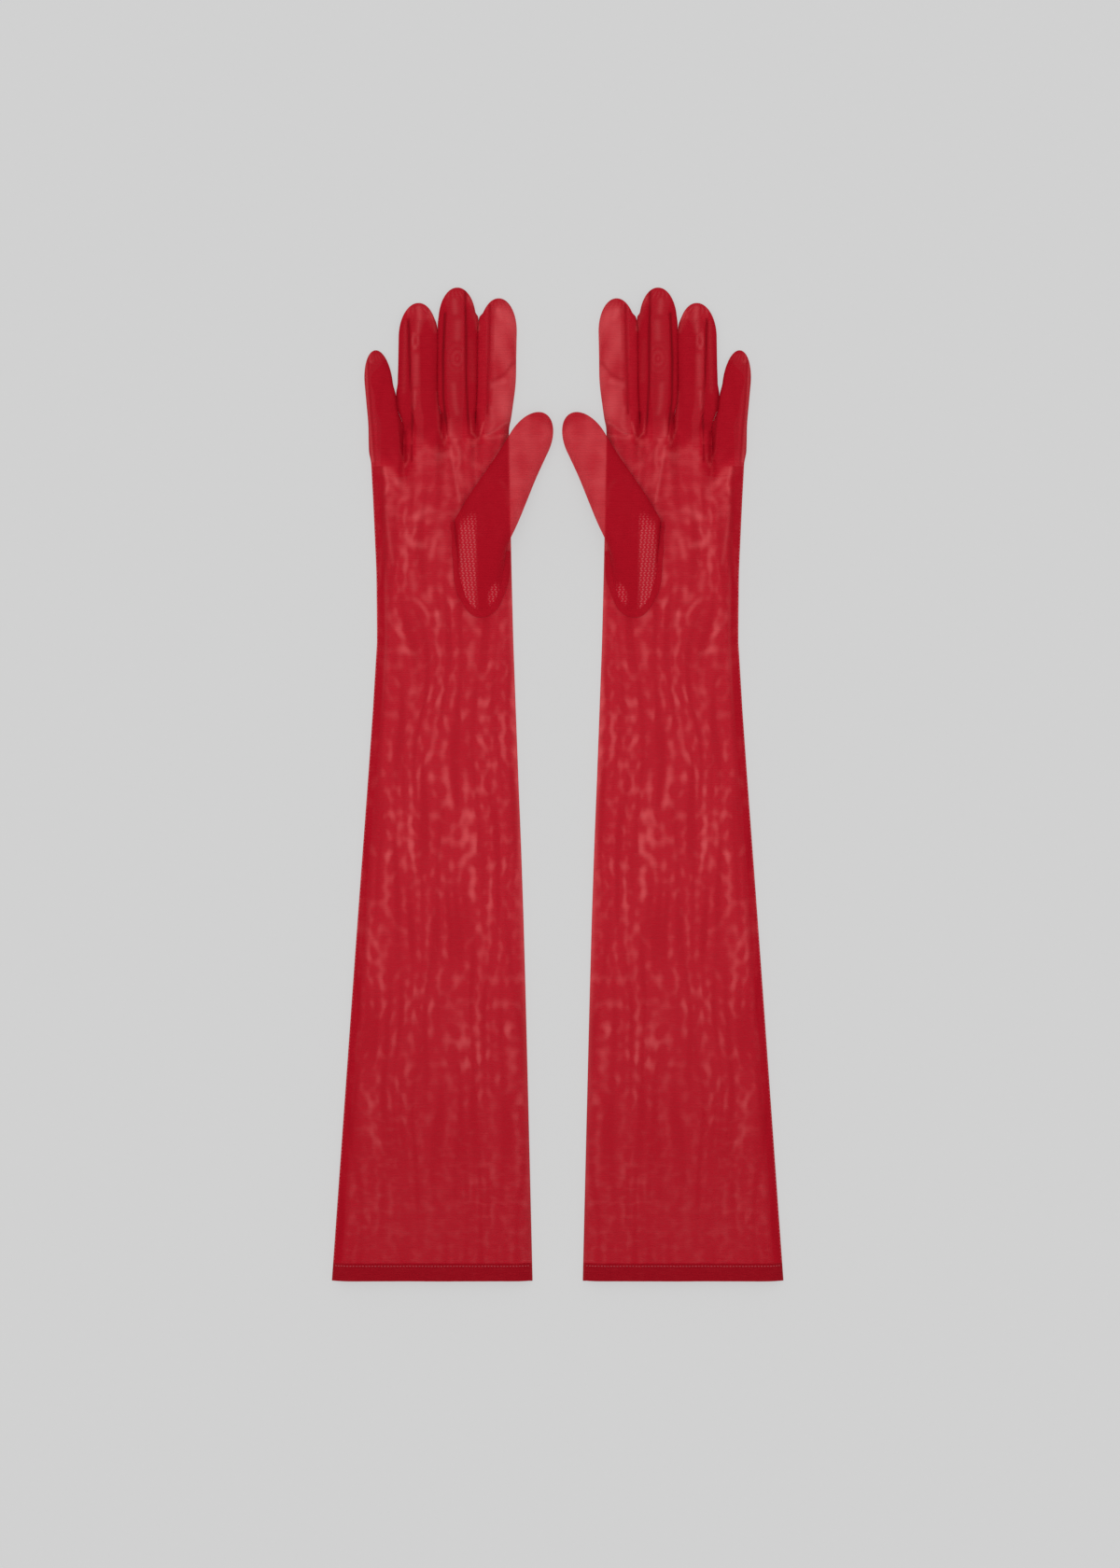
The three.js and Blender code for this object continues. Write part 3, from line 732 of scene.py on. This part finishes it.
def side_strip(hand, f, side):
    """The strip between palm side and back, folded in lengthwise between them."""
    long = TOP[f] - FOOT[f]
    s = np.arange(-FOOT_LAP, long - STRIP_END, FINE * 1.2)[:, None]
    left, right, cap = finger_edges(f, s)
    u = np.linspace(-1, 1, 21)[None]
    depth = strip_depth(f, side, s, left, right)
    edge = right if side > 0 else left
    x = edge - side * depth * fold_profile(u)
    y = FOOT[f] + s + 0 * u
    rim = finger_height(f, edge + 0 * u, y, s, left, right, cap)
    z = mix(RIM, rim - 0.02, (u + 1) / 2)
    fold = near(u, 0.45) + 0 * s
    streak = 0.35 * near(np.abs(u) - 0.62, 0.12) * (0.5 + 0.5 * np.sin(s / 4 + 2 * u))
    pale = np.where(side < 0, streak, 0.3 * streak)
    word = "inner" if side > 0 else "outer"
    return make_mesh(hand, f"{f}_strip_cloth_{word}", [patch(x, y, z, pale, fold)], side > 0)


def crotch_turn(hand, i):
    """The strips' turn round the foot of a slit, fanned out between palm side and back."""
    slit, low = SLITS[i], SLIT_LOW[i]
    tall = LOW[FINGERS[i + 1]] - low
    from_depth, to_depth = STRIP_DEPTH[(FINGERS[i], 1)], STRIP_DEPTH[(FINGERS[i + 1], -1)]
    fan = np.radians(np.linspace(180, 360, 25))
    leg = np.linspace(0, tall, max(3, int(tall / FINE)))[1:]
    angle = np.concatenate([fan, 2 * math.pi + 0 * leg])[:, None]
    py = np.concatenate([low + 0 * fan, low + leg])[:, None]
    turned = np.concatenate([np.linspace(0, 1, len(fan)), 1 + 0 * leg])[:, None]
    depth = mix(from_depth, to_depth, turned) * (1 - 0.45 * np.sin(math.pi * turned) ** 2)
    u = np.linspace(-1, 1, 17)[None]
    reach = depth * fold_profile(u)
    x, y = slit + np.cos(angle) * reach, py + np.sin(angle) * reach
    z = mix(RIM, hand_height(slit + 0 * x, py + 0 * x) - 0.02, (u + 1) / 2)
    fold = near(u, 0.4) + 0 * x
    return make_mesh(hand, f"crotch_cloth_{FINGERS[i]}_{FINGERS[i + 1]}", [patch(x, y, z, 0.0, fold)])


# ---- thumb

def thumb_base(x, y):
    """Height of the thumb's underside, which hangs down beside the palm."""
    return THUMB_UNDER + 0.25 - THUMB_DROOP * ease((x - inner(y) + 6) / 26)


def thumb_height(x, y, w, left, right, cap, s):
    roll = np.minimum(THUMB_ROLL, np.maximum((right - left) / 2, 0.01) * 0.95)
    rim = thumb_base(x, y) + 0.3
    high = (THUMB_HIGH - THUMB_UNDER - 0.55) * cap + 0.3 * np.sin(s / 8 + x / 9) * cap
    return rim + high * dome(np.minimum(w - left, right - w), roll)


def thumb_rows_at():
    return distances(THUMB_LONG, THUMB_TIP)


def window_shape(x, y):
    """The part of the thumb piece left of the tuck, where its net is seen in a single layer."""
    top = 152 - 0.9 * np.maximum(-49 - x, 0)
    return ease((x + 55.6) / 2.2) * ease((TUCK_FOLD - x) / 1.6) * ease((top - y) / 7)


def thumb_side(hand, palm):
    s = thumb_rows_at()[:, None]
    left, right, cap = thumb_edges(s)
    t = spread(37 if palm else 23)[None]
    w = left + (right - left) * t
    x, y = thumb_place(w, s)
    over_palm = ease((inner(y) - x + 0.5) / 1.5)
    end = ease((s - (THUMB_LONG - 9)) / 7)
    if palm:
        z = thumb_height(x, y, w, left, right, cap, s)
        # painted highlight along the thumb's folds
        folds = near_line(w - (left + right) / 2, s, (6, 20, 2, 27, -4, 30), 1.1)
        # paler where the thumb hangs beside the palm: partly the fewer layers there, partly painted light
        # reaching under it
        pale = (1 - over_palm) * (0.34 + 0.16 * np.sin(s / 3.1 + w / 4) * np.sin(w / 5))
        # painted highlight along both edges
        rim = 0.5 * near(right - w, 0.9) + 0.35 * near(w - left, 0.8)
        window = window_shape(x, y)
        pale = np.maximum.reduce([pale * (1 - 0.7 * end), rim * (1 - over_palm), 0.25 * folds])
        # darker where the thumb lies over the palm: partly the layers beneath, partly painted shade
        dark = np.maximum(0.45 * end, 0.8 * over_palm * (1 - window))
        return make_mesh(hand, "thumb_palm_cloth", [patch(x, y, z, pale, dark, window)])
    rim_drop = dome(np.minimum(w - left, right - w), 3)
    z = thumb_base(x, y) + 0.3 * (1 - rim_drop)
    return make_mesh(hand, "thumb_back_cloth", [patch(x, y, z, 0.0, 0.35 * end + 0 * x)], facing_up=False)


def oval_point(turn, grow=0.0):
    return (
        OVAL_X + (OVAL_WIDTH / 2 + grow) * np.cos(turn),
        OVAL_Y + (OVAL_LENGTH / 2 + grow) * np.sin(turn),
    )


def thumb_foot(t):
    """The foot of the thumb's palm side from its left edge to its right one."""
    s = np.array(-FOOT_LAP)
    left, right, cap = thumb_edges(s)
    w = left + (right - left) * t
    x, y = thumb_place(w, s)
    return x, y, thumb_height(x, y, w, left, right, cap, s)


def small_window(x, y):
    """The small patch right of the tuck, above the oval's right-hand foot, that is also single."""
    across, along = (x + 35.6 - (y - 106) * 0.18) / 3.0, (y - 105.5) / 6.5
    return 1 - ease((np.hypot(across, along) - 0.55) / 0.6)


def mouth_back(t):
    """The mouth's far half, from the oval's upper arc under the thumb to the foot of the thumb's back."""
    ox, oy = oval_point(math.pi * (1 - t), -0.2)
    s = np.array(-FOOT_LAP)
    left, right, _ = thumb_edges(s)
    w = left + (right - left) * t
    fx, fy = thumb_place(w, s)
    fz = thumb_base(fx, fy) + 0.3 * (1 - dome(np.minimum(w - left, right - w), 3))
    v = np.linspace(0, 1, 24)[:, None]
    x, y = mix(ox, fx, v), mix(oy, fy, v)
    z = mix(hand_height(ox, oy) + 0.1, fz, ease(v))
    # painted shade: this part lies under the thumb
    return patch(x, y, z, 0.0, 0.4)


def thumb_mouth(hand):
    """The thumb piece's mouth, sewn into the oval, with the tuck folded inside it."""
    t = spread(37)
    bx, by = oval_point(math.pi * (1 + t), -0.2)
    bz = hand_height(bx, by) + 0.3
    tx, ty, tz = thumb_foot(t)
    v = np.linspace(0, 1, 66)[:, None]
    x, y = mix(bx, tx, v), mix(by, ty, v)
    z = mix(bz, tz, ease(v)) + 0.8 * np.sin(math.pi * v) * np.sin(math.pi * t)
    window, small = window_shape(x, y), small_window(x, y)
    cloth = patch(x, y, z, 0.0, 0.85 * (1 - window) * (1 - small), np.maximum(window, small))
    ty2 = np.linspace(97.5, 138, 40)[:, None]
    rim_x = OVAL_X + (OVAL_WIDTH / 2 - 0.8) * np.sqrt(
        np.maximum(1 - (np.minimum(ty2 - OVAL_Y, 0) / (OVAL_LENGTH / 2)) ** 2, 0)
    )
    u = np.linspace(-1, 1, 15)[None]
    fold_x = np.minimum(TUCK_FOLD, rim_x - 1.0)
    x2 = rim_x - (rim_x - fold_x) * fold_profile(u)
    z2 = hand_height(x2, ty2 + 0 * u) - 1.1 + 0.35 * u
    small = small_window(x2, ty2 + 0 * u)
    tuck = patch(x2, ty2 + 0 * u, z2, 0.0, 0.8 * (1 - small), small)
    return make_mesh(hand, "thumb_mouth_cloth", [cloth, tuck, mouth_back(t)])


def thumb_seam(hand):
    """The raised seam round the thumb's mouth, up both sides to the thumb's foot."""
    turn = np.linspace(math.pi, 2 * math.pi, 60)
    px, py = oval_point(turn, 0.9)
    fx, fy, _ = thumb_foot(np.array([0.0, 1.0]))
    left = np.linspace(0, 1, 24)[:-1]
    right = left[1:13] * 1.6
    px = np.concatenate([mix(fx[0] - 0.4, px[0], left), px, mix(px[-1], fx[1] + 0.2, right)])
    py = np.concatenate([mix(fy[0] - 1, py[0], left), py, mix(py[-1], fy[1] - 1, right)])
    path = np.column_stack([px, py])
    run = np.gradient(path, axis=0)
    run /= np.linalg.norm(run, axis=1)[:, None]
    side = np.column_stack([-run[:, 1], run[:, 0]])
    u = np.linspace(-1, 1, 9)[None]
    width = SEAM_WIDTH / 2 * (1 + 0.12 * np.sin(np.arange(len(px)) / 2.3))[:, None]
    x, y = px[:, None] + side[:, :1] * u * width, py[:, None] + side[:, 1:] * u * width
    z = hand_height(x, y) + 0.3 + 0.3 * (1 - u**2)
    z = z + 0.06 * np.sin(np.arange(len(px)) * 1.1)[:, None] * (1 - u**2)
    return make_mesh(hand, "thumb_seam_ridge", [patch(x, y, z, 0.0, 0.7)])


# ---- stitches

def stitches(hand, name, path, pitch=STITCH_PITCH, length=STITCH_LENGTH):
    """Short stitches of thread laid end to end along a line of points."""
    gaps = np.linalg.norm(np.diff(path, axis=0), axis=1)
    total = np.concatenate([[0], np.cumsum(gaps)])
    starts = np.arange(pitch * 0.3, total[-1] - length, pitch)
    ring = np.radians(np.arange(0, 360, 72))
    verts, faces = [], []
    for start in starts:
        at = start + length * np.array([0.0, 0.22, 0.78, 1.0])
        mid = np.column_stack([np.interp(at, total, path[:, i]) for i in range(3)])
        run = mid[-1] - mid[0]
        run /= np.linalg.norm(run)
        side = np.cross((0, 0, 1), run)
        side /= np.linalg.norm(side)
        up = np.cross(run, side)
        base = len(verts)
        for m, r, sink in zip(mid, (0.35, 1.0, 1.0, 0.35), (0.5, 0.0, 0.0, 0.5)):
            for a in ring:
                offset = (side * math.cos(a) + up * (math.sin(a) * 0.8 - sink)) * (STITCH_THICK / 2 * r)
                verts.append(m + offset)
        for i in range(3):
            for j in range(5):
                a, b = base + i * 5 + j, base + i * 5 + (j + 1) % 5
                faces.append((a, b, b + 5, a + 5))
        faces.append(tuple(base + j for j in range(4, -1, -1)))
        faces.append(tuple(base + 15 + j for j in range(5)))
    co = np.array(verts)
    if hand == "left":
        return add_object(f"{hand}_{name}", co * (-1, 1, 1), faces)[0]
    return add_object(f"{hand}_{name}", co, [f[::-1] for f in faces])[0]


def hem_stitch_line():
    low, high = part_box("right_hem_stitching")
    y = (low.y + high.y) / 2 / MM
    x = np.linspace(outer(y) + 1, inner(y) - 1, 160)
    return np.column_stack([x, y + 0 * x, hand_height(x, y + 0 * x) + 0.22])


def side_stitch_line():
    y = np.linspace(HEM_TOP + 1, LOW["little"] - 1, 260)
    x = outer(y) + 0.55
    return np.column_stack([x, y, hand_height(x, y) + 0.12])


# ---- materials

class Look:
    """Builds one material's nodes."""

    def __init__(self, name):
        self.material = bpy.data.materials.new(name)
        self.material.use_nodes = True
        self.tree = self.material.node_tree
        self.shader = self.tree.nodes["Principled BSDF"]

    def put(self, socket, value):
        if isinstance(value, bpy.types.NodeSocket):
            self.tree.links.new(value, socket)
        elif value is not None:
            socket.default_value = value

    def node(self, kind, *values):
        """A new node with these values or links in its first sockets."""
        node = self.tree.nodes.new("ShaderNode" + kind)
        for socket, value in zip(node.inputs, values):
            self.put(socket, value)
        return node

    def math(self, operation, *values, clamp=False):
        node = self.node("Math", *values)
        node.operation, node.use_clamp = operation, clamp
        return node.outputs[0]

    def times(self, a, b, clamp=False):
        return self.math("MULTIPLY", a, b, clamp=clamp)

    def times_add(self, a, b, c, clamp=False):
        return self.math("MULTIPLY_ADD", a, b, c, clamp=clamp)

    def set(self, name, value):
        self.put(self.shader.inputs[name], value)

    def attribute(self, name, output="Fac"):
        node = self.node("Attribute")
        node.attribute_name = name
        return node.outputs[output]

    def split(self, vector):
        return self.node("SeparateXYZ", vector).outputs

    def noise(self, x, y, wide, tall, detail=2.0, rough=0.5, seed=0.0):
        """Noise whose patches are about wide by tall millimetres."""
        node = self.node("TexNoise")
        x, y = self.math("DIVIDE", x, wide), self.math("DIVIDE", y, tall)
        place = self.node("CombineXYZ", x, y, seed).outputs[0]
        for name, value in (("Vector", place), ("Scale", 1.0), ("Detail", detail), ("Roughness", rough)):
            self.put(node.inputs[name], value)
        return node.outputs[0]

    def ramp(self, value, low, high, to_low=0.0, to_high=1.0):
        node = self.node("MapRange", value, low, high, to_low, to_high)
        node.interpolation_type = "SMOOTHSTEP"
        return node.outputs[0]

    def blend(self, factor, a, b):
        node = self.node("Mix")
        node.data_type = "RGBA"
        for name, value in (("Factor", factor), ("A", a), ("B", b)):
            self.put(node.inputs[name], value)
        return node.outputs["Result"]


def wave(look, value, period):
    return look.math("SINE", look.times(value, 2 * math.pi / period))


def moire(look, x, y):
    """Where the two meshes lie in step: pale flecks in upright rows, and darker rows between them."""
    bend = look.times(look.math("SUBTRACT", look.noise(x, y, 30, 70, 0.0), 0.5), 14)
    across = look.math("ADD", x, bend)
    streak = look.noise(across, y, 4.6, 55, 0.0)
    fleck = look.noise(across, y, 4.2, 7.0, 0.3, 0.5, 3.0)
    rows = look.times_add(streak, 0.5, look.times(fleck, 0.7))
    rows = look.ramp(rows, 0.55, 1.04)
    smudge = look.ramp(look.noise(x, y, 7.5, 4.2, 1.0, 0.5, 8.0), 0.46, 0.95)
    low = look.ramp(y, -250, -130)
    cloud = look.ramp(look.noise(x, y, 30, 55, 1.0, 0.5, 12.0), 0.3, 0.66, 0.6, 1.25)
    cloud = look.times(cloud, look.ramp(y, 135, 165, 1.0, 0.45))
    palm_cloud = look.ramp(look.noise(x, y, 11, 9, 1.0, 0.5, 20.0), 0.45, 0.8, 0.0, 0.5)
    palm_cloud = look.times(palm_cloud, look.ramp(y, 125, 160))
    both = look.math("ADD", look.times(rows, look.times_add(low, 0.4, 0.6)),
                     look.times(smudge, look.times_add(low, -0.4, 0.5)))
    between = look.ramp(streak, 0.24, 0.54, 1.0, 0.0)
    return look.times_add(both, cloud, palm_cloud), between


def mesh_cloth(name, colour, glow, cover, fleck=0.0, net=False, shine=0.04):
    """Sheer ribbed stretch mesh: `cover` is the share of it that is thread."""
    look = Look(name)
    x, y, _ = look.split(look.attribute("lay", "Vector"))
    pale, dark = look.attribute("pale"), look.attribute("dark")
    ribs = wave(look, look.math("ADD", y, look.times(look.noise(x, y, 9, 30), 1.2)), RIB_PITCH)
    brushed = look.math("SUBTRACT", look.noise(x, y, 7, 0.9, 2.0, 0.6, 5.0), 0.5)
    light = pale
    if fleck:
        flecks, between = moire(look, x, y)
        flecks = look.times(flecks, look.times_add(dark, -0.85, 1.0, clamp=True))
        light = look.times_add(flecks, fleck, pale, clamp=True)
        dark = look.times_add(between, 0.4 * fleck, dark)
    solid = look.times_add(ribs, 0.03, cover)
    solid = look.times_add(brushed, 0.10, solid)
    solid = look.times_add(light, -0.07, solid)
    solid = look.times_add(dark, 0.08, solid)
    shade = look.times_add(light, 0.95, look.times(brushed, 0.3), clamp=True)
    # the pale marks, partly painted highlight, and the moire flecks blend the red towards glow
    tint = look.blend(shade, colour, glow)
    deep = tuple(c * k for c, k in zip(colour[:3], DEEPER)) + (1.0,)
    tint = look.blend(look.ramp(y, -20, -290, 0.0, 0.58), tint, deep)
    # the dark marks, partly painted shade, blend the red towards the deeper red and FOLD_RED
    tint = look.blend(look.times(dark, 0.95, clamp=True), tint, deep)
    tint = look.blend(look.ramp(dark, 0.9, 1.8), tint, FOLD_RED)
    if net:
        zigzag = look.math("PINGPONG", y, NET_PITCH[0])
        slanted = look.times_add(y, 0.12, x)
        strands = wave(look, look.times_add(zigzag, 0.75, slanted), NET_PITCH[1])
        knots = wave(look, y, NET_PITCH[0])
        dashes = look.ramp(look.times_add(knots, 0.6, strands), 0.2, 1.2)
        pattern = look.times(dashes, look.attribute("net"))
        solid = look.times_add(pattern, -0.06, solid)
        tint = look.blend(look.times(pattern, 0.6), tint, NET_ROSE)
    look.set("Alpha", look.math("MINIMUM", look.math("MAXIMUM", solid, 0.2), 0.985))
    look.set("Base Color", tint)
    look.set("Roughness", 0.62)
    look.set("Specular IOR Level", shine)
    bump = look.node("Bump")
    bump.inputs["Strength"].default_value = 0.25
    bump.inputs["Distance"].default_value = 0.0002
    look.put(bump.inputs["Height"], look.math("ADD", ribs, brushed))
    look.set("Normal", bump.outputs[0])
    return look.material


def thread_look():
    look = Look("sewing_thread")
    x, y, _ = look.split(look.node("TexCoord").outputs["Object"])
    twist = wave(look, look.math("ADD", x, y), TWIST_PITCH * MM)
    tint = look.blend(look.times_add(twist, 0.5, 0.5), *THREAD_REDS)
    look.set("Base Color", tint)
    look.set("Roughness", 0.5)
    look.set("Specular IOR Level", 0.3)
    return look.material


RED = (0.485, 0.0062, 0.019, 1.0)
# pale colour of the pale marks: partly painted highlight, partly the cloth's pale flecks
ROSE = (0.72, 0.072, 0.084, 1.0)
NET_ROSE = (0.68, 0.13, 0.14, 1.0)
# darker red of the strips inside the glove: partly the layers over them, partly painted shade
DEEP = (0.36, 0.004, 0.012, 1.0)
HEM_RED = (0.345, 0.004, 0.0125, 1.0)
# near-black red along the darkest lines: partly dense folds, partly painted shade in creases
FOLD_RED = (0.17, 0.0015, 0.005, 1.0)
THREAD_REDS = (0.50, 0.05, 0.07, 1), (0.66, 0.13, 0.15, 1)
TABLE_GREYS = (0.137, 0.137, 0.137, 1), (0.143, 0.143, 0.143, 1)
DEEPER = (0.72, 0.35, 0.55)  # what folds, overlaps and painted shade leave of the red, green and blue

PALM_LOOK = mesh_cloth("palm_mesh", RED, ROSE, 0.9, fleck=1.0)
BACK_LOOK = mesh_cloth("back_mesh", RED, ROSE, 0.88, fleck=0.15)
FINGER_LOOK = mesh_cloth("finger_mesh", RED, ROSE, 0.88, fleck=0.3)
THUMB_LOOK = mesh_cloth("thumb_mesh", RED, ROSE, 0.89, fleck=0.35, net=True)
MOUTH_LOOK = mesh_cloth("thumb_mouth_mesh", RED, ROSE, 0.9, net=True)
# strips, crotch turns and seam allowance lie inside the glove; their darker red is partly painted shade
STRIP_LOOK = mesh_cloth("strip_mesh", DEEP, ROSE, 0.9)
HEM_LOOK = mesh_cloth("hem_mesh", HEM_RED, ROSE, 0.92, fleck=0.1)
THREAD_LOOK = thread_look()


# ---- putting the pair together

FLOOR_NAME = "table"


def thread(hand, ob, node=None):
    """Gives a line of stitches its material and body. Returns it."""
    ob.data.materials.append(THREAD_LOOK)
    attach(ob, f"{hand}_hand")
    if node:
        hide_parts(f"{hand}_{node}")
    return ob


def bend_of(hand, child, x, y, dx, dy):
    """The two bodies that a piece of cloth joins, and where it bends from and to."""
    sign = -1 if hand == "left" else 1
    start = (sign * x * MM, y * MM, 0)
    end = (sign * (x + dx) * MM, (y + dy) * MM, 0)
    return f"{hand}_hand", f"{hand}_{child}", start, end


def finger_bend(hand, f):
    x = (FINGER_ROWS[f][0, 1] + FINGER_ROWS[f][0, 2]) / 2
    return bend_of(hand, f"{f}_finger", x, LOW[f], 0, BEND_LENGTH)


def thumb_bend(hand):
    x, y, _ = thumb_foot(np.array(0.5))
    dx, dy = math.sin(THUMB_TURN) * BEND_LENGTH, math.cos(THUMB_TURN) * BEND_LENGTH
    return bend_of(hand, "thumb", float(x), float(y), dx, dy)


def sheet(hand, ob, look, node, bend=None):
    """Gives a sheet its material and, unless it bends, the hand's body, and hides the frame's part that
    it stands in for; a bending sheet gets no body, only its transform put into its points.
    """
    ob.data.materials.append(look)
    if bend:
        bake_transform(ob)
    else:
        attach(ob, f"{hand}_hand")
    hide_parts(f"{hand}_{node}")


def sleeve_and_hem(hand):
    line = thread(hand, stitches(hand, "side_stitches", side_stitch_line(), SIDE_PITCH, SIDE_STITCH))
    sheet(hand, palm_panel(hand), PALM_LOOK, "palm_panel")
    sheet(hand, back_panel(hand), BACK_LOOK, "back_panel")
    sheet(hand, side_seam(hand), STRIP_LOOK, "side_seam")
    line = thread(hand, stitches(hand, "hem_stitches", hem_stitch_line()), "hem_stitching")
    for palm, word in SIDES:
        sheet(hand, hem_side(hand, palm), HEM_LOOK, f"hem_{word}_side")


def fingers(hand):
    for f in FINGERS:
        for palm, word in SIDES:
            sheet(hand, finger_side(hand, f, palm), FINGER_LOOK, f"{f}_{word}_side",
                  bend=finger_bend(hand, f))
    for (f, side), depth in STRIP_DEPTH.items():
        ob = side_strip(hand, f, side)
        node = f"{f}_strip_inner" if side > 0 else f"{f}_strip_outer"
        sheet(hand, ob, STRIP_LOOK, node, finger_bend(hand, f))
    for i, (f, other) in enumerate(zip(FINGERS, FINGERS[1:])):
        ob = crotch_turn(hand, i)
        sheet(hand, ob, STRIP_LOOK, f"crotch_{f}_{other}")


def thumb(hand):
    for palm, word in SIDES:
        sheet(hand, thumb_side(hand, palm), THUMB_LOOK, f"thumb_{word}_side",
              bend=thumb_bend(hand))
    ob = thumb_mouth(hand)
    sheet(hand, ob, MOUTH_LOOK, "thumb_insert")
    ob = thumb_seam(hand)
    sheet(hand, ob, THUMB_LOOK, "thumb_seam")


def studio():
    """A plain pale table, even light from all round and a soft light from the upper left."""
    bpy.ops.mesh.primitive_plane_add(size=FLOOR_SIZE, location=(0, 0, 0))
    floor = bpy.context.object
    floor.name = FLOOR_NAME
    look = Look("table_grey")
    x, y, _ = look.split(look.node("TexCoord").outputs["Object"])
    grain = look.noise(x, y, 0.004, 0.004)
    look.set("Base Color", look.blend(grain, *TABLE_GREYS))
    look.set("Emission Color", (1, 1, 1, 1))
    look.set("Emission Strength", FLOOR_GLOW)
    look.set("Roughness", 0.95)
    look.set("Specular IOR Level", 0.0)
    floor.data.materials.append(look.material)
    world = bpy.data.worlds.new("studio")
    world.use_nodes = True
    world.node_tree.nodes["Background"].inputs["Color"].default_value = (1, 1, 1, 1)
    world.node_tree.nodes["Background"].inputs["Strength"].default_value = SKY_STRENGTH
    bpy.context.scene.world = world
    sun = bpy.data.lights.new("soft_light", "SUN")
    sun.energy, sun.angle = SUN_STRENGTH, math.radians(40)
    lamp = bpy.data.objects.new("soft_light", sun)
    lamp.rotation_euler = (math.radians(-28), math.radians(-24), 0)
    bpy.context.scene.collection.objects.link(lamp)


def camera():
    data = bpy.data.cameras.new("camera")
    data.lens, data.sensor_width = CAMERA_LENS, SENSOR
    data.clip_start, data.clip_end = 0.05, 50
    ob = bpy.data.objects.new("camera", data)
    ob.location = (VIEW_MIDDLE * MM, 0, VIEW_LENGTH * MM * CAMERA_LENS / SENSOR + CAMERA_LIFT)
    bpy.context.scene.collection.objects.link(ob)
    bpy.context.scene.camera = ob
    bpy.context.scene.view_settings.view_transform = "Standard"


studio()
for hand in ("right", "left"):
    sleeve_and_hem(hand)
    fingers(hand)
    thumb(hand)
camera()
